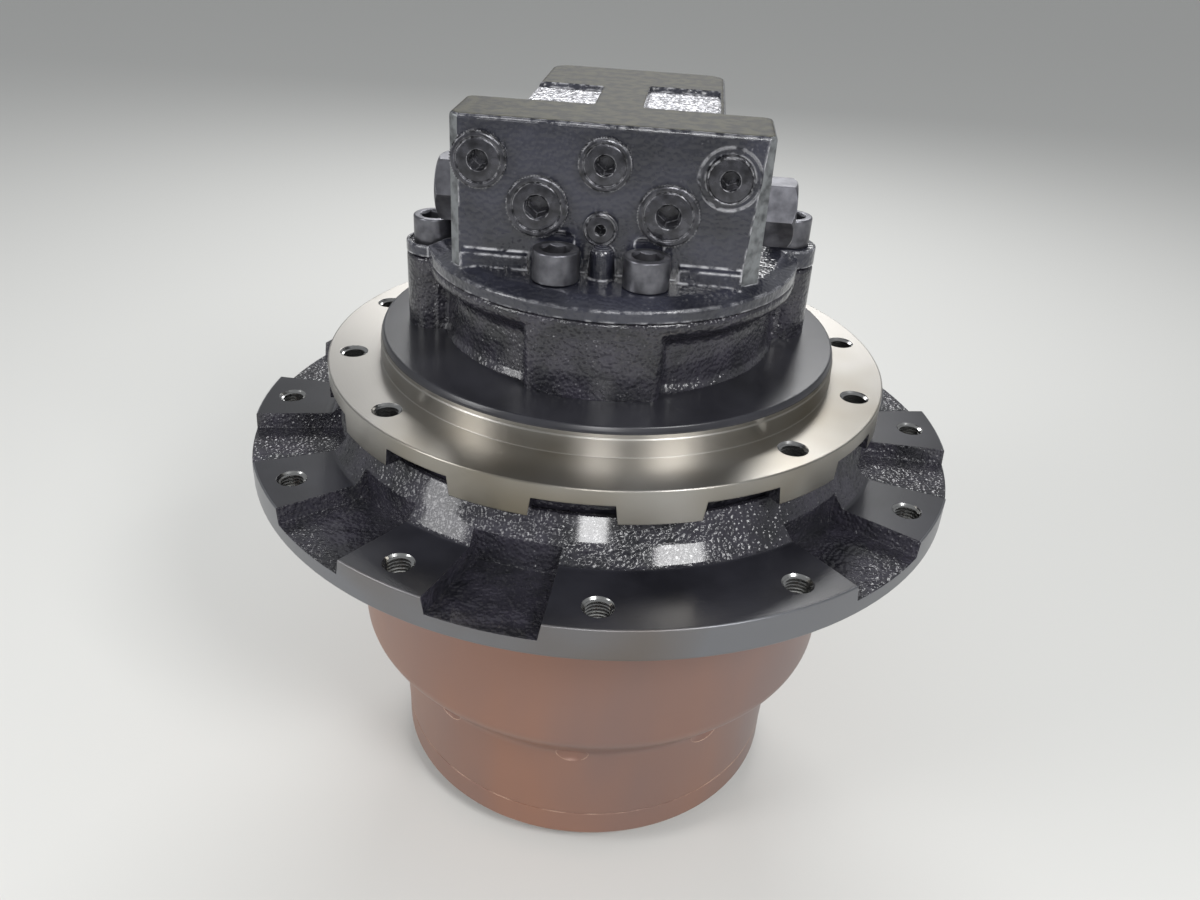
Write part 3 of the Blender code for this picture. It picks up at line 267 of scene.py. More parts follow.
def shape_of(thing):
    """The object's shape with its modifiers applied; the object itself goes."""
    mesh = evaluated_mesh(thing)
    bpy.data.objects.remove(thing)
    bm = bmesh.new()
    bm.from_mesh(mesh)
    bpy.data.meshes.remove(mesh)
    return bm


def carved(body, tools, operation="DIFFERENCE"):
    """Cut the tools from a body, or add them to it."""
    holder, cutter = as_object("holder", body), as_object("cutter", together(tools))
    modifier = holder.modifiers.new("carve", "BOOLEAN")
    modifier.operation, modifier.object, modifier.solver, modifier.use_self = operation, cutter, "EXACT", True
    result = shape_of(holder)
    bpy.data.objects.remove(cutter)
    bmesh.ops.remove_doubles(result, verts=result.verts, dist=1e-7)
    bmesh.ops.dissolve_degenerate(result, dist=1e-7, edges=result.edges)
    return result


def settle(name, bm, materials, body, nodes=(), rule=None, crease=32):
    """Make the piece, give its faces their materials, and tie it to its body and nodes."""
    made = as_object(name, bm)
    mesh = made.data
    for material in materials:
        mesh.materials.append(material)
    if rule:
        for face in mesh.polygons:
            face.material_index = rule(face.center, face.normal)
    mesh.shade_smooth()
    mesh.set_sharp_from_angle(angle=math.radians(crease))
    # flat faces keep their own normals, so only the small faces of a rounded edge bend the light
    weigh = made.modifiers.new("weigh", "WEIGHTED_NORMAL")
    weigh.keep_sharp, weigh.weight = True, 90
    made.data = evaluated_mesh(made)
    made.modifiers.clear()
    bpy.data.meshes.remove(mesh)
    made.data.name = name
    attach(made, body)
    if nodes:
        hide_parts(*nodes)
    return made


# Primer over turned iron: a thin copper-brown film that keeps some of the metal's sheen. The lathe's
# rings are about 0.3 mm apart, too fine to show, so all turned faces have them 0.8 to 1.6 mm apart.
COPPER, COPPER_GREY = "#926853", "#756360"
primed_iron, look = new_finish("primer_on_turned_iron", COPPER, 0.38, 0.2)
tint(look, 0.11, (COPPER, COPPER_GREY), 0.25, 0.75, stretch=(1, 1, 0.3))
worn_edges(look, "#d9b9a4", 0.0008, 0.02)
turning_marks(look, 0.0016, 0.00002, corner=0.0008)

# Blackened steel: the oxide is matt, and handling polishes it to a dark satin.
OXIDE, OXIDE_WORN = "#3b3b3f", "#5d5d62"
black_oxide, look = new_finish("blackened_steel", OXIDE, 0.36, 0.9)
tint(look, 0.012, (OXIDE, OXIDE_WORN), 0.4, 0.75)
roughened(look, [(0.0009, 0.00003)], corner=0.0006)

PAD_Z = 0.282
cover_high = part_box("gearbox_cover")[1]
COVER_R = cover_high.x
JOINT_Z = cover_high.z
BOSS_R, BOSS_H = 0.095, 0.016
BOSS_FOOT_R = BOSS_R + 0.007
COVER_FLOOR = 0.014
COVER_SEAT = 0.0358
COVER_SEAT_R = 0.018
COVER_INNER_R = 0.10375
COVER_BOLTS = 12
COVER_BOLT_PITCH = (BOSS_FOOT_R + COVER_R) / 2
OIL_PLUGS = ("filler_plug", "level_plug", "drain_plug")
# the oil plugs and their stepped holes: heights above the flat, a gap, and shares of the head's radius
OIL_SEAT, OIL_HOLE, OIL_TIP, OIL_GAP = 0.0066, 0.0124, 0.6, 0.0004
OIL_FACE, OIL_SOCKET, OIL_EDGE, OIL_HEAD, OIL_END = 0.001, 0.0052, 0.0062, 0.0064, 0.0107
OIL_SHANK, OIL_KEY = 0.58, 0.82

profile = [(0, 0), (BOSS_R, 0, 0.0015), (BOSS_FOOT_R, BOSS_H, 0.003), (COVER_R, BOSS_H, 0.0015)]
profile += [(COVER_R, JOINT_Z, 0.0005), (COVER_INNER_R, JOINT_Z), (BOSS_R - 0.004, COVER_FLOOR, 0.004)]
profile += [(COVER_SEAT_R, COVER_FLOOR, 0.003), (COVER_SEAT_R, COVER_SEAT, 0.0005), (0, COVER_SEAT)]
shell = turned(eased(profile))
tools = []
for name in OIL_PLUGS:
    low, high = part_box(name)
    middle = (low + high) / 2
    wide = (high.x - low.x) / 2 + OIL_GAP
    tip = wide * OIL_TIP
    hole = [(0, -0.002), (wide, -0.002), (wide, OIL_SEAT), (tip, OIL_SEAT), (tip, OIL_HOLE), (0, OIL_HOLE)]
    tools.append(shifted(turned(hole, 32), middle.x, middle.y))
settle("gearbox_cover_shell", carved(shell, tools), [primed_iron], "hub", ["gearbox_cover"])


def cap_head(radius, height, key, steps=32):
    """Head of a socket cap screw that stands up from z = 0."""
    bm = turned(eased([(0, 0), (radius, 0, 0.0004), (radius, height, 0.0012), (0, height)]), steps)
    flare = key / math.sqrt(3)
    floor, mouth, above = height * 0.45, height + 0.0005, height + 0.002
    socket = turned([(0, floor), (flare * 0.8, floor), (flare * 0.8, height - 0.002), (flare * 1.15, mouth),
                     (flare * 1.15, above), (0, above)], steps)
    bm = carved(bm, [prism(hexagon(key), height * 0.4, above)])
    return carved(bm, [socket])


def start_tree(name, sizes):
    """An empty geometry tree with named inputs, each a label, a kind of socket and a value or None."""
    made = bpy.data.node_groups.new(name, "GeometryNodeTree")
    made.interface.new_socket("Geometry", in_out="OUTPUT", socket_type="NodeSocketGeometry")
    for label, kind, value in (("Geometry", "Geometry", None), *sizes, ("Turn", "Vector", None),
                               ("Material", "Material", None)):
        socket = made.interface.new_socket(label, in_out="INPUT", socket_type="NodeSocket" + kind)
        if value is not None:
            socket.default_value = value
    return made, add_node(made, "NodeGroupInput").outputs


def end_tree(made, given, part):
    """Stand the part on every point, make the copies real and give them their material."""
    copies = add_node(made, "GeometryNodeInstanceOnPoints", {
        "Points": given["Geometry"], "Instance": part, "Rotation": given["Turn"]})
    real = add_node(made, "GeometryNodeRealizeInstances", {0: copies.outputs[0]})
    painted = add_node(made, "GeometryNodeSetMaterial", {"Geometry": real.outputs[0],
                                                         "Material": given["Material"]})
    add_node(made, "NodeGroupOutput", {0: painted.outputs[0]})
    return made


def repeat_tree(name):
    """Geometry nodes that stand a part on every point of the mesh that they are put on."""
    made, given = start_tree(name, [("Part", "Object", None)])
    part = add_node(made, "GeometryNodeObjectInfo", {"Object": given["Part"]})
    return end_tree(made, given, part.outputs["Geometry"])


def grown(name, points, tree, values, material, body):
    """Run a geometry tree on points and keep the result as one plain mesh."""
    holder = as_object(name, bmesh.new())
    holder.data.from_pydata([tuple(p) for p in points], [], [])
    modifier = holder.modifiers.new("grow", "NODES")
    modifier.node_group = tree
    sockets = {item.name: item.identifier for item in tree.interface.items_tree if item.in_out == "INPUT"}
    for label, value in {**values, "Material": material}.items():
        modifier[sockets[label]] = value
    return settle(name, shape_of(holder), [material], body)


standing_parts = repeat_tree("parts_on_points")
COVER_BOLT_R, COVER_BOLT_H, COVER_BOLT_KEY = 0.008, 0.010, 0.008
head = as_object("cover_bolt_pattern", cap_head(COVER_BOLT_R, COVER_BOLT_H, COVER_BOLT_KEY))
points = [(*on_circle(COVER_BOLT_PITCH, 2 * math.pi * k / COVER_BOLTS), BOSS_H) for k in range(COVER_BOLTS)]
grown("gearbox_cover_bolts", points, standing_parts, {"Part": head, "Turn": (math.pi, 0, 0)}, black_oxide,
      "hub")
bpy.data.objects.remove(head)

for name in OIL_PLUGS:
    low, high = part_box(name)
    middle = (low + high) / 2
    wide = (high.x - low.x) / 2
    shank = wide * OIL_SHANK
    body = turned(eased([(0, OIL_FACE), (wide, OIL_FACE, 0.0008), (wide, OIL_EDGE, 0.0006), (shank, OIL_HEAD),
                         (shank, OIL_END, 0.0006), (0, OIL_END)]), 48)
    body = carved(body, [prism(hexagon(wide * OIL_KEY), -0.001, OIL_SOCKET)])
    settle(name + "_turned", shifted(body, middle.x, middle.y), [black_oxide], "hub", [name])

# Gears, pins and first carrier
# Case-hardened steel gears with ground flanks, on ground pins; the carrier is cast iron, machined
# where the pins sit. All of it runs in oil, which leaves a thin gloss.

# Case-hardened steel, ground and oiled: a cool grey with a clear gloss over it.
GEAR_STEEL, GEAR_DARK = "#8b8b90", "#5f5c58"
gear_steel, look = new_finish("ground_gear_steel_oiled", GEAR_STEEL, 0.26, 1.0, Coat_Weight=0.3,
                              Coat_Roughness=0.08)
tint(look, 0.02, (GEAR_STEEL, GEAR_DARK), 0.45, 0.8)
roughened(look, [(0.0006, 0.00001)], corner=0.0005)

# Ground bearing steel: bright, with rings too fine to see one by one, so it mirrors softly.
BRIGHT, BRIGHT_DULL = "#b9b6b0", "#918b82"
ground_steel, look = new_finish("ground_bright_steel", BRIGHT, 0.22, 1.0)
tint(look, 0.03, (BRIGHT, BRIGHT_DULL), 0.4, 0.8)
turning_marks(look, 0.0008, 0.00001, corner=0.0004)

# Bare cast iron: dark and rough, with only a dull sheen.
IRON, IRON_DARK = "#5c5b5d", "#413f3e"
bare_iron, look = new_finish("bare_cast_iron", IRON, 0.5, 0.85)
tint(look, 0.015, (IRON, IRON_DARK))
roughened(look, [(0.004, 0.0002), (0.0012, 0.0001)], corner=0.001)

# Sintered bronze: pressed powder, so a fine dry grain over a yellow-brown metal.
BRONZE, BRONZE_DARK = "#b08d57", "#8a6a3c"
sintered_bronze, look = new_finish("sintered_bronze", BRONZE, 0.38, 1.0)
tint(look, 0.008, (BRONZE, BRONZE_DARK))
roughened(look, [(0.0007, 0.00004)])


def dress(names, material):
    """Give CAD nodes their material."""
    for label in names:
        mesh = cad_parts[label].data
        mesh.materials.clear()
        mesh.materials.append(material)


dress(["sun_gear_first", "sun_gear_second"], gear_steel)
dress(["first_planet_%d" % k for k in (1, 2, 3)] + ["second_planet_%d" % k for k in (1, 2, 3, 4)], gear_steel)
dress(["first_pin_%d" % k for k in (1, 2, 3)] + ["second_pin_%d" % k for k in (1, 2, 3, 4)], ground_steel)
dress(["first_carrier"], bare_iron)

# Hub drum
# One iron casting: ring gear inside below, main bearings above, and the flange that the sprocket
# bolts to. The flange's rim and pads are turned; its top is enamelled black and the drum primed.

HUB_TURN = math.radians(5)
DRUM_Z = JOINT_Z + 0.0003
TAPER_LOW_Z, TAPER_LOW_R = 0.0996, 0.1465
TAPER_HIGH_Z, TAPER_HIGH_R = 0.1296, 0.1715
CASE_TOP_R = 0.1755
FLANGE_R, FLANGE_LOW_Z = 0.238, 0.2615
COLLAR_R, RIDGE_R, RIDGE_H, COLLAR_TOP_R, COLLAR_H = 0.187, 0.178, 0.0105, 0.170, 0.024
SEAL_POCKET_R, SEAL_Z = 0.1675, 0.2617
BEARING_SEAT_R, BEARING_HIGH_Z, BEARING_LOW_Z, BEARING_W = 0.1553, 0.2206, 0.1496, 0.033
BEARING_LIP_R = BEARING_SEAT_R - 0.007
RING_TIP_R, RING_ROOT_R, RING_TOP_Z, RING_TEETH = 0.11525, 0.12625, 0.1366, 48
FLANGE_HOLES, FLANGE_PITCH_R, FLANGE_HOLE_DEPTH, HOLE_R, HOLE_FLARE = 12, 0.2192, 0.03, 0.0079, 0.0012
RECESS_DEPTH, RECESS_IN_R, RECESS_HALF, RECESS_DRAFT = 0.0105, 0.1805, math.radians(7.6), math.radians(0.45)
RECESS_START, PLAIN_PADS = math.radians(75), (0, 6)

outer = [(COVER_R, DRUM_Z, 0.0008), (TAPER_LOW_R, TAPER_LOW_Z, 0.006), (TAPER_HIGH_R, TAPER_HIGH_Z, 0.006)]
outer += [(CASE_TOP_R, FLANGE_LOW_Z, 0.004), (FLANGE_R, FLANGE_LOW_Z, 0.0012), (FLANGE_R, PAD_Z, 0.0011)]
outer += [(COLLAR_R, PAD_Z, 0.0025), (RIDGE_R, PAD_Z + RIDGE_H, 0.002)]
outer += [(COLLAR_TOP_R, PAD_Z + COLLAR_H, 0.0005)]
inner = [(SEAL_POCKET_R, PAD_Z + COLLAR_H), (SEAL_POCKET_R, SEAL_Z), (BEARING_SEAT_R, SEAL_Z)]
inner += [(BEARING_SEAT_R, BEARING_HIGH_Z), (BEARING_LIP_R, BEARING_HIGH_Z)]
inner += [(BEARING_LIP_R, BEARING_LOW_Z + BEARING_W), (BEARING_SEAT_R, BEARING_LOW_Z + BEARING_W)]
inner += [(BEARING_SEAT_R, BEARING_LOW_Z), (RING_TIP_R, RING_TOP_Z), (RING_TIP_R, DRUM_Z)]
drum = turned(eased(outer + inner), 144, HUB_TURN)

# a tooth space from tip to root: (radius, half width as a share of the pitch)
TOOTH_SPACE = ((RING_TIP_R - 0.0015, 0.43), (0.12, 0.27), (RING_ROOT_R, 0.16))
teeth = []
for k in range(RING_TEETH):
    middle = math.pi / RING_TEETH * (2 * k + 1)
    for side, flank in ((-1, TOOTH_SPACE), (1, TOOTH_SPACE[::-1])):
        teeth += [on_circle(radius, middle + side * half * 2 * math.pi / RING_TEETH) for radius, half in flank]
drum = carved(drum, [prism(teeth, DRUM_Z - 0.001, BEARING_LOW_Z - 0.002)])


def slot_tool(middle, floor, mouth, steps=6):
    """Cutter for a radial slot; floor and mouth are (near radius, far radius, half angle, height)."""
    outlines = []
    for near, far, half, _ in (floor, mouth):
        turn = [half * (2 * k / steps - 1) for k in range(steps + 1)]
        inner_arc = [on_circle(near, middle + a) for a in turn]
        outer_arc = [on_circle(far, middle - a) for a in turn]
        outlines.append(inner_arc + outer_arc)
    return bridged(outlines[0], outlines[1], floor[3], mouth[3])


def hole_tool(x, y, mouth_z, depth, radius=HOLE_R, flare=HOLE_FLARE):
    """Cutter for a tapped hole with a countersunk mouth that opens upwards."""
    top = radius + flare
    profile = [(0, mouth_z - depth), (radius, mouth_z - depth), (radius, mouth_z - flare), (top, mouth_z)]
    return shifted(turned(profile + [(top, mouth_z + 0.003), (0, mouth_z + 0.003)], 32), x, y)


flange_angles = [HUB_TURN + 2 * math.pi * k / FLANGE_HOLES for k in range(FLANGE_HOLES)]
flange_holes = [on_circle(FLANGE_PITCH_R, a) for a in flange_angles]
tools = [hole_tool(x, y, PAD_Z, FLANGE_HOLE_DEPTH) for x, y in flange_holes]
drum = carved(drum, tools)
tools = []
for k in range(FLANGE_HOLES):
    if k in PLAIN_PADS:
        continue
    middle = HUB_TURN - RECESS_START + 2 * math.pi * k / FLANGE_HOLES
    high = RIDGE_H + 0.002
    draft = RECESS_DRAFT * (1 + high / RECESS_DEPTH)
    tools.append(slot_tool(middle, (RECESS_IN_R, FLANGE_R + 0.01, RECESS_HALF, PAD_Z - RECESS_DEPTH),
                           (RECESS_IN_R - 0.001, FLANGE_R + 0.01, RECESS_HALF + draft, PAD_Z + high)))
drum = carved(drum, tools)
# three shallow dents, cast in at the foot of the taper
DENTS, DENT_R, DENT_START, DENT_STEP = 3, 0.0105, math.radians(-126), math.radians(37.5)
DENT_SHAPE, DENT_OUT, DENT_DROP = (0.7, 1.35, 0.8, 1), 0.0045, 0.003
dents = []
for k in range(DENTS):
    angle = DENT_START + DENT_STEP * k
    ball = bmesh.new()
    bmesh.ops.create_uvsphere(ball, u_segments=32, v_segments=24, radius=DENT_R)
    flat = Matrix.Rotation(angle, 4, "Z") @ Matrix.Diagonal(DENT_SHAPE)
    dents.append(shifted(moved(ball, flat), *on_circle(TAPER_LOW_R + DENT_OUT, angle), TAPER_LOW_Z - DENT_DROP))
drum = carved(drum, dents)

# Turned iron, left bare with a film of oil: a dull grey with a soft sheen, browner where the oil lies.
RIM, RIM_BROWN = "#7c7d81", "#726961"
rim_steel, look = new_finish("turned_iron_rim", RIM, 0.36, 0.9)
tint(look, 0.16, (RIM, RIM_BROWN), 0.5, 0.7)
turning_marks(look, 0.0012, 0.00002, corner=0.0008)

# Black enamel over turned iron keeps only faint rings; it is a semi-gloss that scuffs grey.
ENAMEL, ENAMEL_SCUFFED = "#1c1c21", "#2e2e34"
smooth_enamel, look = new_finish("black_enamel_on_turned_iron", ENAMEL, 0.3, 0.0, Coat_Weight=0.25,
                                 Coat_Roughness=0.2)
tint(look, 0.05, (ENAMEL, ENAMEL_SCUFFED))
turning_marks(look, 0.0014, 0.00003, corner=0.0008)

# Black enamel over a sand casting: the gloss follows every grain, so light breaks into sparks. The
# sand's grains are 0.5 mm; the pebbles are drawn 2.4 mm wide, so that they show.
cast_enamel, look = new_finish("black_enamel_on_sand_casting", ENAMEL, 0.24, 0.0, Coat_Weight=0.5,
                               Coat_Roughness=0.1)
tint(look, 0.02, ("#1c1c21", "#312f38"))
pebbled(look, 0.0024, 0.0009, corner=0.0015)

# Freshly cut threads: bare metal whose flanks glint inside the dark holes.
thread_steel, look = new_finish("cut_thread_steel", "#a9a9a8", 0.22, 1.0)
roughened(look, [(0.0008, 0.00002)])

DRUM_FINISHES = [primed_iron, rim_steel, smooth_enamel, cast_enamel, thread_steel, ground_steel]


def drum_rule(centre, normal):
    """Material of a drum face: primer, rim, pads, casting, threads or machined inside."""
    radius = math.hypot(centre.x, centre.y)
    outward = (centre.x * normal.x + centre.y * normal.y) / max(radius, 1e-6)
    for x, y in flange_holes:
        near = math.hypot(centre.x - x, centre.y - y)
        if near < HOLE_R + HOLE_FLARE + 0.0004 and abs(normal.z) < 0.9:
            return DRUM_FINISHES.index(thread_steel)
    if radius > FLANGE_R - 0.0012 and centre.z > FLANGE_LOW_Z - 0.0001:
        return DRUM_FINISHES.index(rim_steel)
    if radius < SEAL_POCKET_R + 0.0002 and (outward < -0.3 or radius < COVER_R - 0.002):
        return DRUM_FINISHES.index(ground_steel)
    if centre.z > PAD_Z - 0.0004 and normal.z > 0.9 and radius > COLLAR_R - 0.001:
        return DRUM_FINISHES.index(smooth_enamel)
    if centre.z > FLANGE_LOW_Z + 0.0002:
        return DRUM_FINISHES.index(cast_enamel)
    return DRUM_FINISHES.index(primed_iron)


settle("hub_drum_casting", drum, DRUM_FINISHES, "hub", ["hub_drum"], drum_rule)


def thread_tree(name):
    """Geometry nodes that wind a thread's ridge down from every point, inside a hole's wall."""
    made, given = start_tree(name, [("Radius", "Float", 0.0078), ("Pitch", "Float", 0.002),
                                    ("Turns", "Float", 10.0), ("Depth", "Float", 0.001)])
    height = add_node(made, "ShaderNodeMath", {0: given["Pitch"], 1: given["Turns"]}, operation="MULTIPLY")
    coil = add_node(made, "GeometryNodeCurveSpiral", {
        "Resolution": 20, "Rotations": given["Turns"], "Start Radius": given["Radius"],
        "End Radius": given["Radius"], "Height": height.outputs[0]})
    upright = add_node(made, "GeometryNodeSetCurveNormal", {"Curve": coil.outputs[0]}, mode="Z_UP")
    ridge = add_node(made, "GeometryNodeCurvePrimitiveCircle", {"Resolution": 3, "Radius": given["Depth"]})
    swept = add_node(made, "GeometryNodeCurveToMesh", {
        "Curve": upright.outputs[0], "Profile Curve": ridge.outputs[0], "Fill Caps": True})
    sunk = add_node(made, "ShaderNodeMath", {0: height.outputs[0], 1: -1.0}, operation="MULTIPLY")
    drop = add_node(made, "ShaderNodeCombineXYZ", {2: sunk.outputs[0]})
    lowered = add_node(made, "GeometryNodeTransform", {"Geometry": swept.outputs[0],
                                                       "Translation": drop.outputs[0]})
    return end_tree(made, given, lowered.outputs[0])


threads = thread_tree("threads_in_holes")
THREAD = {"Radius": HOLE_R + 0.0001, "Pitch": 0.0022, "Turns": 8.0, "Depth": 0.0011, "Turn": (0, 0, 0)}
grown("hub_drum_threads", [(x, y, PAD_Z - HOLE_FLARE) for x, y in flange_holes], threads, THREAD, thread_steel,
      "hub")

# Main bearings, nut and face seal
# Two tapered roller bearings back to back with a slotted nut, and a pair of lapped seal rings.
# They are bought-in parts of hardened, ground steel; the nut is turned iron.

dress(["bearing_cone_lower", "bearing_cone_upper", "bearing_cup_lower", "bearing_cup_upper"], ground_steel)
dress(["roller_cage_lower", "roller_cage_upper"], gear_steel)
dress(["seal_ring_hub", "seal_ring_spindle"], ground_steel)
dress(["bearing_nut"], bare_iron)

# Spindle and motor casing
# The fixed casting in the middle: its flange bolts to the track frame and its casing holds the
# motor. The flange and spigot are turned bright, the disc and the rough casing enamelled black.

FRAME_Z = 0.3327
TAB_Z = 0.311
FRAME_R = 0.1854
PILOT_R, PILOT_H, PILOT_STEP = 0.151, 0.0153, 0.0006
STEP_LOW, STEP_HIGH = 0.004, 0.0035
DISC_R, DISC_Z = 0.149, 0.3513
CASING_R, CASING_RIM_R, CASING_Z, CASING_BORE_R = 0.107, 0.119, 0.399, 0.078
FRAME_HOLES, FRAME_PITCH_R, FRAME_BLANKS, FRAME_START = 12, 0.1688, (8, 9), math.radians(15)
FRAME_HOLE_DEPTH = 0.026
NOTCH_H, NOTCH_IN_R, NOTCH_DRAFT, TAB_HALF = 0.012, 0.1683, 0.006, math.radians(7.5)
NOSE_Z, NOSE_R, SPINDLE_BORE_R = 0.1376, 0.112, 0.034
SHOULDER_Z, NECK_R, SEAL_ROOF_Z = 0.2542, 0.1392, 0.290
SKIRT_IN_R, SKIRT_OUT_R, SKIRT_Z = 0.1583, 0.1653, 0.2807
CONE_SEAT_R, BEARING_Z = 0.120, 0.1499
MOTOR_FLOOR_Z, BRAKE_Z, LEDGE_R, SHAFT_BEARING_R, SHAFT_BEARING_Z = 0.2601, 0.3339, 0.070, 0.040, 0.2402
PINS, PIN_CENTRE_R, PIN_R, PIN_DEPTH = 4, 0.080, 0.0163, 0.036

outer = [(SPINDLE_BORE_R, NOSE_Z), (NOSE_R, NOSE_Z, 0.001), (NOSE_R, BEARING_Z), (CONE_SEAT_R, BEARING_Z)]
outer += [(CONE_SEAT_R, SHOULDER_Z), (NECK_R, SHOULDER_Z), (NECK_R, SEAL_ROOF_Z), (SKIRT_IN_R, SEAL_ROOF_Z)]
outer += [(SKIRT_IN_R, SKIRT_Z), (SKIRT_OUT_R, SKIRT_Z, 0.001), (SKIRT_OUT_R, TAB_Z, 0.002)]
outer += [(FRAME_R, TAB_Z, 0.0006), (FRAME_R, FRAME_Z, 0.0011), (PILOT_R, FRAME_Z, 0.0004)]
# the spigot steps in a little just below its top, to lead it into the track frame
pilot_top, lead_r = FRAME_Z + PILOT_H, PILOT_R - PILOT_STEP
outer += [(PILOT_R, pilot_top - STEP_LOW, 0.0002), (lead_r, pilot_top - STEP_HIGH, 0.0002)]
outer += [(lead_r, pilot_top, 0.001), (DISC_R, DISC_Z, 0.0008), (CASING_R - 0.004, DISC_Z)]
inner = [(LEDGE_R, DISC_Z), (LEDGE_R, MOTOR_FLOOR_Z), (SHAFT_BEARING_R, MOTOR_FLOOR_Z)]
inner += [(SHAFT_BEARING_R, SHAFT_BEARING_Z), (SPINDLE_BORE_R, SHAFT_BEARING_Z)]
flange = turned(eased(outer + inner))
frame_angles = [FRAME_START + 2 * math.pi * k / FRAME_HOLES for k in range(FRAME_HOLES)]
frame_holes = [on_circle(FRAME_PITCH_R, a) for k, a in enumerate(frame_angles) if k not in FRAME_BLANKS]
tools = [hole_tool(x, y, FRAME_Z, FRAME_HOLE_DEPTH) for x, y in frame_holes]
half = math.pi / FRAME_HOLES - TAB_HALF
for angle in frame_angles:
    tools.append(slot_tool(angle + math.pi / FRAME_HOLES,
                           (NOTCH_IN_R, FRAME_R + 0.01, half + NOTCH_DRAFT, TAB_Z - 0.004),
                           (NOTCH_IN_R, FRAME_R + 0.01, half - NOTCH_DRAFT, TAB_Z + NOTCH_H)))
flange = carved(flange, tools)
tools = [prism(circle(CASING_BORE_R, 96), BRAKE_Z, DISC_Z + 0.002)]
for k in range(PINS):
    x, y = on_circle(PIN_CENTRE_R, math.pi / 4 + 2 * math.pi * k / PINS)
    tools.append(prism(circle(PIN_R, 32, (x, y)), NOSE_Z - 0.002, NOSE_Z + PIN_DEPTH))
flange = carved(flange, tools)

# Turned steel: fine rings that spread a highlight across the radius, warm where oil has stained it.
TURNED, TURNED_WARM = "#a9a6a1", "#857c6a"
turned_steel, look = new_finish("turned_bright_flange", TURNED, 0.34, 1.0, Anisotropic=0.6,
                                Anisotropic_Rotation=0.25)
tint(look, 0.15, (TURNED, TURNED_WARM), 0.5, 0.75)
turning_marks(look, 0.0011, 0.00003, corner=0.0008)
tree, shader, _ = look
around = add_node(tree, "ShaderNodeTangent", direction_type="RADIAL", axis="Z")
tree.links.new(around.outputs[0], shader.inputs["Tangent"])

SPINDLE_FINISHES = [turned_steel, smooth_enamel, cast_enamel, thread_steel, ground_steel]


def flange_rule(centre, normal):
    """Material of a spindle face: turned steel, enamelled disc, casting, threads or machined inside."""
    radius = math.hypot(centre.x, centre.y)
    outward = (centre.x * normal.x + centre.y * normal.y) / max(radius, 1e-6)
    for x, y in frame_holes:
        near = math.hypot(centre.x - x, centre.y - y)
        if near < HOLE_R + HOLE_FLARE + 0.0004 and abs(normal.z) < 0.9:
            return SPINDLE_FINISHES.index(thread_steel)
    if centre.z > FRAME_Z + PILOT_H - 0.0008 and radius > CASING_BORE_R:
        return SPINDLE_FINISHES.index(smooth_enamel)
    if centre.z > FRAME_Z - 0.0015 and radius > CASING_BORE_R:
        return SPINDLE_FINISHES.index(turned_steel)
    if radius > FRAME_R - 0.0012 and outward > 0.5:
        return SPINDLE_FINISHES.index(turned_steel)
    if radius > SKIRT_IN_R + 0.0005:
        return SPINDLE_FINISHES.index(cast_enamel)
    return SPINDLE_FINISHES.index(ground_steel)


settle("spindle_flange", flange, SPINDLE_FINISHES, "housing", ["spindle"], flange_rule)
grown("spindle_threads", [(x, y, FRAME_Z - HOLE_FLARE) for x, y in frame_holes], threads, THREAD, thread_steel,
      "housing")

side_screws = [(Vector(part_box("cover_screw_%d" % k)[0]) + Vector(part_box("cover_screw_%d" % k)[1])) / 2
               for k in (3, 4, 5, 6)]


def lobe(middle, half_width, reach, low, high):
    """Upright lobe of the casing with its outer corners rounded."""
    half = math.asin(half_width / reach)
    points = [on_circle(reach, middle + half * (2 * k / 16 - 1)) for k in range(17)]
    side = Vector((-math.sin(middle), math.cos(middle))) * half_width
    along = Vector((math.cos(middle), math.sin(middle))) * CASING_R * 0.82
    outline = points + [tuple(along + side), tuple(along - side)]
    outline[0] = (*outline[0], 0.004)
    outline[16] = (*outline[16], 0.004)
    return prism(eased(outline), low, high)


LOBE_HALF_W, LOBE_R, SIDE_BOSS_R = 0.040, 0.1185, 0.0185
CASING_FOOT_R = CASING_R + 0.003
CAST_GRID, CAST_PASSES = 0.0015, 5
low = DISC_Z - 0.003
wall = [(CASING_BORE_R, low), (CASING_FOOT_R, low), (CASING_FOOT_R, DISC_Z, 0.0005), (CASING_R, DISC_Z + 0.004)]
wall += [(CASING_R - 0.0015, CASING_Z - 0.0165, 0.003), (CASING_RIM_R - 0.0005, CASING_Z - 0.0075, 0.002)]
wall += [(CASING_RIM_R, CASING_Z - 0.0006), (CASING_RIM_R - 0.001, CASING_Z), (CASING_BORE_R, CASING_Z)]
shells = [turned(eased(wall, 3), 128)]
shells += [lobe(angle, LOBE_HALF_W, LOBE_R, low, CASING_Z - 0.002) for angle in (-math.pi / 2, math.pi / 2)]
for place in side_screws:
    shells.append(prism(circle(SIDE_BOSS_R, 40, (place.x, place.y)), low, CASING_Z - 0.0005))


def as_cast(name, shells, voxel, passes):
    """Melt shells into one casting whose corners are rounded as sand leaves them."""
    holder = as_object(name, together(shells))
    remesh = holder.modifiers.new("melt", "REMESH")
    remesh.mode, remesh.voxel_size = "VOXEL", voxel
    soften = holder.modifiers.new("soften", "SMOOTH")
    soften.factor, soften.iterations = 0.5, passes
    return shape_of(holder)


casing = as_cast("casing", shells, CAST_GRID, CAST_PASSES)
settle("motor_casing", casing, [cast_enamel], "housing", crease=60)

# Hydraulic motor and parking brake
# Shaft, swash plate, cylinder barrel and valve plate, with a bronze-faced brake disc between
# ground plates. They sit inside the casing and are machined all over.

dress(["drive_shaft", "shaft_bearing", "cylinder_barrel", "brake_plate", "counterbalance_spool"], ground_steel)
dress(["valve_plate", "brake_disc"], sintered_bronze)
dress(["swash_plate", "brake_piston"], bare_iron)

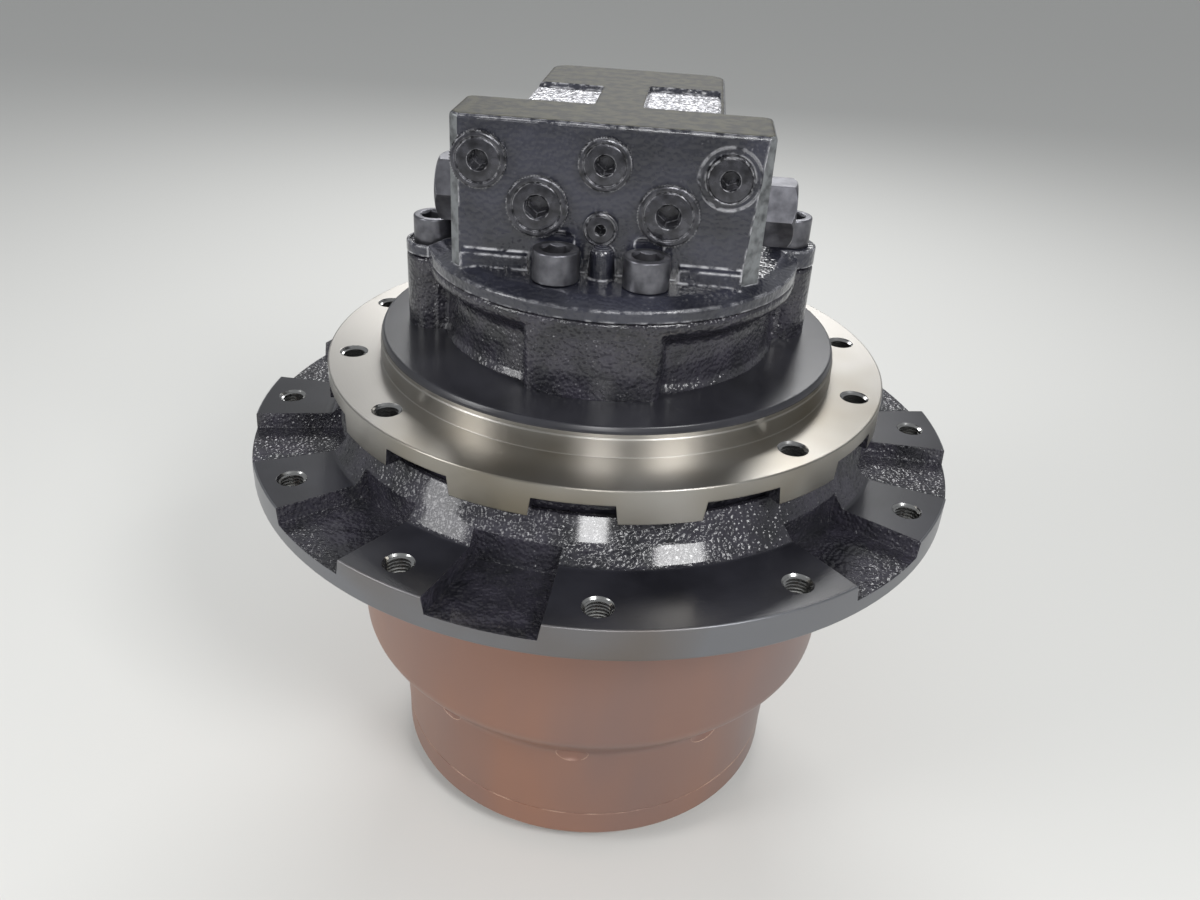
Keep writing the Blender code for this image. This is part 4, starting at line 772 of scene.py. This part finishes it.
# Rear cover and valve block
# An iron casting that closes the motor: a round rim with a block on it that holds the valves.
# It is enamelled black like the casing; dust has settled on its top, and its edges are chipped.

COVER_Z, EDGE_Z, LEDGE_Z = 0.3993, 0.4065, 0.411
LEDGE_RIM_R = 0.108
BLOCK_TOP_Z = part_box("rear_cover")[1].z
FACE_Y, FACE_BACK_Y, HEAD_HALF_W = -0.074, -0.022, 0.0905
TOWER_X0, TOWER_X1, TOWER_FRONT_Y, TOWER_BACK_Y = -0.056, 0.063, FACE_Y + 0.026, 0.078
PORT_HEAD_BACK_Y, PORT_HEAD_Z = 0.106, LEDGE_Z + 0.030
SHELF_HALF_W, SHELF_BACK_Y, SHELF_H = 0.088, 0.050, 0.040


def eased_box(x0, x1, y0, y1, z0, z1, upright, top, steps=3):
    """Block with rounded upright edges and a rounded edge round its top."""
    bm = prism([(x0, y0), (x1, y0), (x1, y1), (x0, y1)], z0, z1)
    standing = [e for e in bm.edges if abs(e.verts[0].co.z - e.verts[1].co.z) > 1e-4]
    bmesh.ops.bevel(bm, geom=standing, offset=upright, segments=steps, profile=0.5, affect="EDGES")
    rim = [e for e in bm.edges if min(v.co.z for v in e.verts) > z1 - 1e-6]
    bmesh.ops.bevel(bm, geom=rim, offset=top, segments=steps, profile=0.5, affect="EDGES")
    return bm


COVER_RIM_R, SPIGOT_R, SPIGOT_Z = 0.119, 0.0775, COVER_Z - 0.01
rim = [(0, SPIGOT_Z), (SPIGOT_R, SPIGOT_Z), (SPIGOT_R, COVER_Z), (COVER_RIM_R, COVER_Z, 0.0008)]
rim += [(COVER_RIM_R, EDGE_Z, 0.0015), (LEDGE_RIM_R, LEDGE_Z, 0.002), (0, LEDGE_Z)]
block = turned(eased(rim))
bosses = []
for place in side_screws:
    top = LEDGE_Z if place.y > 0 else EDGE_Z
    disc = eased([(0, COVER_Z + 0.0002), (SIDE_BOSS_R, COVER_Z + 0.0002), (SIDE_BOSS_R, top, 0.0015), (0, top)])
    bosses.append(shifted(turned(disc, 48), place.x, place.y))
block = carved(block, bosses, "UNION")
low = LEDGE_Z - 0.004


def head_outline(left_cut, right_cut, back_cut=0.006):
    """Plan of the block's head, with its two front corners cut off by a flat."""
    x, near, far = HEAD_HALF_W, FACE_Y, FACE_BACK_Y
    corners = [(-x + left_cut, near), (x - right_cut, near), (x, near + right_cut), (x, far, back_cut)]
    return eased(corners + [(-x, far, back_cut), (-x, near + left_cut)], 3)


# the left flat is even, and the right one narrows upwards
LEFT_CUT, RIGHT_CUT_LOW, RIGHT_CUT_HIGH = 0.0055, 0.011, 0.0035
head = bridged(head_outline(LEFT_CUT, RIGHT_CUT_LOW), head_outline(LEFT_CUT, RIGHT_CUT_HIGH), low, BLOCK_TOP_Z)
top_edges = [e for e in head.edges if min(v.co.z for v in e.verts) > BLOCK_TOP_Z - 1e-6]
bmesh.ops.bevel(head, geom=top_edges, offset=0.0025, segments=3, profile=0.5, affect="EDGES")
# a narrow shelf along the face's foot, outside the screws, left by the mould's parting line
SHELVES = ((-0.0835, -0.044), (0.044, 0.0805))
shelf_profile = [(FACE_Y - 0.0042, LEDGE_Z - 0.002), (FACE_Y - 0.0034, LEDGE_Z + 0.0075)]
shelf_profile += [(FACE_Y - 0.001, LEDGE_Z + 0.0095), (FACE_Y + 0.004, LEDGE_Z + 0.0105)]
shelf_profile += [(FACE_Y + 0.004, LEDGE_Z - 0.002)]
upend = Matrix(((0, 0, 1, 0), (1, 0, 0, 0), (0, 1, 0, 0), (0, 0, 0, 1)))
shelves = [moved(prism(shelf_profile, x0, x1), upend) for x0, x1 in SHELVES]
RIB_R, RIB_Z, RIB_X, RIB_OUT = 0.0068, 0.430, -0.0005, 0.0035
rib_profile = eased([(0, low), (RIB_R + 0.0015, low), (RIB_R, RIB_Z, 0.006), (0, RIB_Z)], 6)
rib = shifted(turned(rib_profile, 32), RIB_X, FACE_Y - RIB_OUT)
parts = [head, *shelves, rib,
         eased_box(TOWER_X0, TOWER_X1, TOWER_FRONT_Y, TOWER_BACK_Y, low, BLOCK_TOP_Z, 0.006, 0.003),
         eased_box(TOWER_X0, TOWER_X1, TOWER_FRONT_Y, PORT_HEAD_BACK_Y, PORT_HEAD_Z, BLOCK_TOP_Z, 0.012,
                   0.003),
         eased_box(-SHELF_HALF_W, SHELF_HALF_W, TOWER_FRONT_Y, SHELF_BACK_Y, low, LEDGE_Z + SHELF_H, 0.008,
                   0.006)]
for part in parts:
    block = carved(block, [part], "UNION")

# pockets that save metal: (left, right, front, back) of each mouth; the left one runs out at the side
POCKETS = ((TOWER_X0 - 0.004, -0.014, -0.0235, 0.036), (0.014, TOWER_X1 - 0.003, -0.0235, 0.047))
POCKET_DEPTH, POCKET_SLOPE = 0.003, 0.0015
tools = []
for x0, x1, y0, y1 in POCKETS:
    outlines = []
    for s in (POCKET_SLOPE, 0):
        corners = ((x0 + s, y0 + s), (x1 - s, y0 + s), (x1 - s, y1 - s), (x0 + s, y1 - s))
        outlines.append(eased([(*corner, 0.003) for corner in corners]))
    tools.append(bridged(*outlines, BLOCK_TOP_Z - POCKET_DEPTH, BLOCK_TOP_Z + 0.0005))
block = carved(block, tools)


def along_y(bm, origin, sign=1):
    """Turn a mesh built along +Z so that it points along +Y or -Y from an origin."""
    return moved(bm, Matrix.Translation(origin) @ Matrix.Rotation(-sign * math.pi / 2, 4, "X"))


def along_x(bm, origin, sign=1):
    """Turn a mesh built along +Z so that it points along +X or -X from an origin."""
    return moved(bm, Matrix.Translation(origin) @ Matrix.Rotation(sign * math.pi / 2, 4, "Y"))


PORT_X, PORT_Z, PORT_R, PORT_DEPTH = 0.031, LEDGE_Z + 0.051, 0.0155, 0.020
DRAIN_Z, DRAIN_R, DRAIN_DEPTH = LEDGE_Z + 0.071, 0.009, 0.014
SPOT_FACE_R, PLUG_BORE = 0.0174, 0.0125
FRONT_PLUGS = ("plug_top_left", "plug_top_centre", "plug_top_right", "plug_large_left", "plug_large_right",
               "plug_small")
tools = []
SCREW_R, SCREW_H, SCREW_KEY = 0.0135, 0.018, 0.0152
WELL_R, WELL_Z, SINK_R = 0.0168, LEDGE_Z + 0.024, 0.0165
screw_middles = {}
for k in range(1, 9):
    low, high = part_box("cover_screw_%d" % k)
    screw_middles[k] = ((low.x + high.x) / 2, (low.y + high.y) / 2, high.z - SCREW_H)
for k in (1, 2):
    x, y, _ = screw_middles[k]
    well = eased([(0, LEDGE_Z), (WELL_R, LEDGE_Z, 0.001), (WELL_R, WELL_Z, 0.004), (0, WELL_Z)])
    tools.append(shifted(turned(well, 40), x, y))
for k in (3, 4, 5, 6):
    x, y, seat = screw_middles[k]
    if seat < LEDGE_Z - 0.002:
        tools.append(prism(circle(SINK_R, 48, (x, y)), seat, WELL_Z))
PORTS = ((-PORT_X, PORT_Z, PORT_R, PORT_DEPTH), (PORT_X, PORT_Z, PORT_R, PORT_DEPTH),
         (0, DRAIN_Z, DRAIN_R, DRAIN_DEPTH))
for x, z, radius, depth in PORTS:
    port = [(0, 0), (radius + 0.005, 0), (radius + 0.005, 0.003), (radius + 0.0015, 0.003), (radius, 0.0045)]
    port += [(radius, depth + 0.002), (0, depth + 0.002)]
    tools.append(along_y(turned(port, 48), (x, PORT_HEAD_BACK_Y + 0.002, z), -1))
for name in FRONT_PLUGS:
    low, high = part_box(name)
    x, z, wide = (low.x + high.x) / 2, (low.z + high.z) / 2, (high.x - low.x) / 2
    if name == "plug_top_right":
        wide = SPOT_FACE_R
        tools.append(along_y(prism(circle(wide, 64), -0.002, 0.0006), (x, FACE_Y, z)))
    tools.append(along_y(prism(circle(wide * 0.78, 32), -0.002, PLUG_BORE), (x, FACE_Y, z)))
block = carved(block, tools)

# The same enamel as on the casing, over a finer skin; the top is dulled by khaki dust.
block_enamel, look = new_finish("black_enamel_on_fine_casting", ENAMEL, 0.22, 0.0, Coat_Weight=0.6,
                                Coat_Roughness=0.08)
tint(look, 0.03, ("#1c1d25", "#2d2e39"))
pebbled(look, 0.0028, 0.0005, corner=0.0018)
worn_edges(look, "#b9b9bd", 0.0022, 0.006)

DUST, DUST_GREY = "#444234", "#2c2b27"
dusty_enamel, look = new_finish("dusty_enamel", DUST, 0.6, Specular_IOR_Level=0.2)
tint(look, 0.008, (DUST, DUST_GREY), 0.4, 0.6)
roughened(look, [(0.004, 0.0002), (0.0012, 0.00015)], corner=0.002)

# The flats at the head's corners are painted a light satin grey, a painted highlight as if lit from the side,
# with pits of black left in them.
corner_flat_painted_lit, look = new_finish("corner_flat_painted_lit", "#797c7d", 0.38, 0.35)
tint(look, 0.006, ("#7d8082", "#4a4c4e"), 0.42, 0.7)
roughened(look, [(0.003, 0.0003), (0.0012, 0.0001)], corner=0.0012)

# The pockets' rough floors are painted a pale metallic grey, a painted highlight as if lit from above, flecked
# lighter as painted glints on the grains.
pocket_floor_painted_lit, look = new_finish("pocket_floor_painted_highlight", "#8b8a90", 0.3, 0.6)
tint(look, 0.0022, ("#55545b", "#d6d6da"), 0.42, 0.6)
pebbled(look, 0.0022, 0.0011, corner=0.001)

BLOCK_FINISHES = [block_enamel, dusty_enamel, pocket_floor_painted_lit, turned_steel, corner_flat_painted_lit]


def block_rule(centre, normal):
    """Material of a block face: enamel, dusty top, pocket floors painted as lit, corner flats painted as lit,
    or cut metal.
    """
    if centre.z > BLOCK_TOP_Z - 0.0005 and normal.z > 0.6:
        return BLOCK_FINISHES.index(dusty_enamel)
    for x0, x1, y0, y1 in POCKETS:
        within = x0 - 0.001 < centre.x < x1 + 0.001 and y0 - 0.001 < centre.y < y1 + 0.001
        # pocket floors get the painted highlight and painted glints
        if within and normal.z > 0.6 and centre.z < BLOCK_TOP_Z - POCKET_DEPTH + 0.0005:
            return BLOCK_FINISHES.index(pocket_floor_painted_lit)
    for x, z, radius, _ in PORTS:
        near = math.hypot(centre.x - x, centre.z - z) < radius + 0.006
        if near and PORT_HEAD_BACK_Y - 0.03 < centre.y < PORT_HEAD_BACK_Y - 0.0001:
            return BLOCK_FINISHES.index(turned_steel)
    if centre.z < COVER_Z + 0.0001:
        return BLOCK_FINISHES.index(turned_steel)
    # the flats at the front corners, facing out sideways, get the painted highlight
    corner = abs(centre.x) > HEAD_HALF_W - 0.012 and centre.y < FACE_Y + 0.012 and centre.z > LEDGE_Z
    if corner and normal.y < -0.5 and abs(normal.x) > 0.5:
        return BLOCK_FINISHES.index(corner_flat_painted_lit)
    return BLOCK_FINISHES.index(block_enamel)


settle("valve_block", block, BLOCK_FINISHES, "housing", ["rear_cover"], block_rule)
port_thread = {**THREAD, "Radius": PORT_R + 0.0001, "Turns": 6.0, "Turn": (-math.pi / 2, 0, 0)}
grown("port_threads", [(x, PORT_HEAD_BACK_Y - 0.003, PORT_Z) for x in (-PORT_X, PORT_X)], threads, port_thread,
      thread_steel, "housing")

# Plugs of the valve block
# Blackened steel plugs with hexagon sockets, screwed into the valve bores on O-rings. The wider
# ones have a knurled rim, and driving them has rubbed their edges bright.

# Blackened steel under a thin coat of enamel: dark and glossy, with its rubbed edges silvery.
worn_plug, look = new_finish("enamelled_plug_steel", "#2b2b30", 0.27, 0.6, Coat_Weight=0.4,
                             Coat_Roughness=0.1)
tint(look, 0.006, ("#26262a", "#4a4a50"))
roughened(look, [(0.0025, 0.00012), (0.0009, 0.00005)], corner=0.0006)
worn_edges(look, "#a9a9ad", 0.0007, 0.003)


def ring_tree(name):
    """Geometry nodes that stand ribs round a rim, for a knurl."""
    made, given = start_tree(name, [("Count", "Int", 60), ("Radius", "Float", 0.0157),
                                    ("Width", "Float", 0.0009), ("Length", "Float", 0.0022)])
    rim = add_node(made, "GeometryNodeMeshCircle", {"Vertices": given["Count"], "Radius": given["Radius"]})
    rib = add_node(made, "GeometryNodeMeshCylinder", {
        "Vertices": 4, "Side Segments": 1, "Radius": given["Width"], "Depth": given["Length"]})
    spot = add_node(made, "GeometryNodeInputPosition")
    facing = add_node(made, "FunctionNodeAlignRotationToVector", {"Vector": spot.outputs[0]}, axis="X")
    ribs = add_node(made, "GeometryNodeInstanceOnPoints", {
        "Points": rim.outputs[0], "Instance": rib.outputs[0], "Rotation": facing.outputs[0]})
    return end_tree(made, given, ribs.outputs[0])


knurls = ring_tree("ribs_round_rim")
KEYS = {"plug_top_left": 0.010, "plug_top_centre": 0.010, "plug_top_right": 0.0095, "plug_large_left": 0.012,
        "plug_large_right": 0.012, "plug_small": 0.0055}
KNURLED = ("plug_top_left", "plug_top_centre", "plug_large_left", "plug_large_right")
SOCKET_TURN, SOCKET_FLOOR, SHANK = 0.35, -0.008, 0.76
for name in FRONT_PLUGS:
    low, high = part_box(name)
    x, z, wide, front = (low.x + high.x) / 2, (low.z + high.z) / 2, (high.x - low.x) / 2, low.y
    tall = FACE_Y - front
    key = KEYS[name]
    disc = wide * (SHANK if name != "plug_top_right" else 0.9)
    profile = [(0, -0.010), (wide * SHANK, -0.010), (wide * SHANK, -0.0004), (wide, -0.0004, 0.0003)]
    profile += [(wide, tall - 0.0004, 0.0006), (wide - 0.0014, tall, 0.0003), (disc + 0.0012, tall, 0.0003)]
    profile += [(disc + 0.0006, tall - 0.0009, 0.0003), (disc, tall - 0.0004, 0.0004)]
    profile += [(key * 0.85, tall - 0.0001), (0, tall - 0.0001)]
    body = turned(eased(profile, 3), 64)
    body = carved(body, [prism(hexagon(key, start=SOCKET_TURN), SOCKET_FLOOR, tall + 0.002)])
    flare = key / math.sqrt(3)
    mouth = turned([(0, tall - 0.0016), (flare * 0.86, tall - 0.0016), (flare * 1.12, tall + 0.0004),
                    (flare * 1.12, tall + 0.002), (0, tall + 0.002)], 48)
    body = carved(body, [mouth])
    settle(name + "_socketed", along_y(body, (x, FACE_Y, z), -1), [worn_plug], "housing", [name])
    if name in KNURLED:
        ribs = {"Count": 64, "Radius": wide, "Width": 0.0007, "Length": tall * 0.7,
                "Turn": (math.pi / 2, 0, 0)}
        grown(name + "_knurl", [(x, FACE_Y - tall * 0.45, z)], knurls, ribs, worn_plug, "housing")

# Spool caps
# Hexagon caps that close the two ends of the counterbalance valve's bore and hold its springs.
# They are turned from hexagon bar and blackened.

# Blackened bar steel, handled often: a dark grey satin that shows broad, soft highlights.
satin_cap, look = new_finish("dark_satin_steel", "#55545a", 0.33, 0.85)
tint(look, 0.01, ("#55555a", "#7a7a80"))
roughened(look, [(0.0012, 0.00004)], corner=0.0008)
CAP_FLATS = 0.036
for name, side in (("spool_cap_left", -1), ("spool_cap_right", 1)):
    low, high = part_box(name)
    y, z = (low.y + high.y) / 2, (low.z + high.z) / 2
    base, reach = side * HEAD_HALF_W, max(abs(low.x), abs(high.x)) - HEAD_HALF_W
    bar = prism(hexagon(CAP_FLATS, start=math.pi / 2), 0.0003, reach)
    corner = CAP_FLATS / math.sqrt(3)
    keep = turned([(0, -0.001), (corner + 0.001, -0.001), (corner + 0.001, reach - 0.003),
                   (CAP_FLATS / 2 - 0.0008, reach + 0.0005), (0, reach + 0.0005)], 64)
    bar = carved(bar, [keep], "INTERSECT")
    settle(name + "_hexagon", along_x(bar, (base, y, z), side), [satin_cap], "housing", [name])

# Cap screws of the rear cover
# Eight high-tensile socket head cap screws, blackened, that clamp the rear cover to the casing.
# Their plain sides shine as satin, and the socket mouths flare out.

for k, (x, y, seat) in screw_middles.items():
    head = shifted(cap_head(SCREW_R, SCREW_H, SCREW_KEY, 48), x, y, seat + 0.0002)
    settle("cover_screw_%d_head" % k, head, [satin_cap], "housing", ["cover_screw_%d" % k])

# Floor, lamps and camera
# A plain pale floor and soft studio lamps; the camera stands where the photograph was taken from.

floor = as_object("studio_floor", prism([(-25, -10), (25, -10), (25, 40), (-25, 40)], -0.02, 0))
# Studio paper: matt and pale, so that the shadow stays soft.
floor_paper, _ = new_finish("pale_floor_paper", "#d9d9d6", 0.8)
floor.data.materials.append(floor_paper)

world = bpy.data.worlds.new("studio")
bpy.context.scene.world = world
world.use_nodes = True
tree = world.node_tree
shade = tree.nodes["Background"]
shade.inputs[0].default_value = linear("#d4d6d8")
ray = add_node(tree, "ShaderNodeLightPath")
seen = add_node(tree, "ShaderNodeMath", {0: ray.outputs["Is Camera Ray"], 1: ray.outputs["Is Glossy Ray"]},
                operation="MAXIMUM")
level = add_node(tree, "ShaderNodeMapRange", {0: seen.outputs[0], 3: 0.6, 4: 0.55})
tree.links.new(level.outputs[0], shade.inputs[1])


def softbox(name, place, aim, width, height, power):
    """Rectangular lamp that faces a point."""
    lamp = bpy.data.lights.new(name, "AREA")
    lamp.shape, lamp.size, lamp.size_y, lamp.energy = "RECTANGLE", width, height, power
    made = bpy.data.objects.new(name, lamp)
    made.location = place
    made.rotation_euler = (Vector(aim) - Vector(place)).to_track_quat("-Z", "Y").to_euler()
    bpy.context.scene.collection.objects.link(made)


softbox("key_lamp", (1.1, -1.3, 1.7), (0, 0, 0.3), 0.6, 0.5, 24)
softbox("fill_lamp", (-1.5, -0.9, 1.1), (0, 0, 0.3), 0.5, 0.9, 12)
softbox("back_lamp", (-0.05, 1.6, 1.5), (0, 0, 0.35), 1.1, 0.4, 18)
softbox("front_lamp", (0.1, -1.8, 1.15), (0, 0, 0.35), 0.35, 0.25, 9)

view = bpy.data.cameras.new("photograph_view")
view.lens, view.sensor_width = 30.48, 36
CAMERA_PLACE = (0.04437, -0.63784, 0.61711)
turn, tip, roll = math.radians(4), math.radians(29.8), math.radians(3.55)
ahead = Vector((-math.sin(turn) * math.cos(tip), math.cos(turn) * math.cos(tip), -math.sin(tip)))
level_right = Vector((math.cos(turn), math.sin(turn), 0))
level_up = Vector((-math.sin(turn) * math.sin(tip), math.cos(turn) * math.sin(tip), math.cos(tip)))
right = level_right * math.cos(roll) + level_up * math.sin(roll)
up = level_up * math.cos(roll) - level_right * math.sin(roll)
camera = bpy.data.objects.new("photograph_view", view)
matrix = Matrix((right, up, -ahead)).transposed().to_4x4()
matrix.translation = CAMERA_PLACE
camera.matrix_world = matrix
bpy.context.scene.collection.objects.link(camera)
bpy.context.scene.camera = camera
bpy.context.scene.view_settings.view_transform = "Standard"
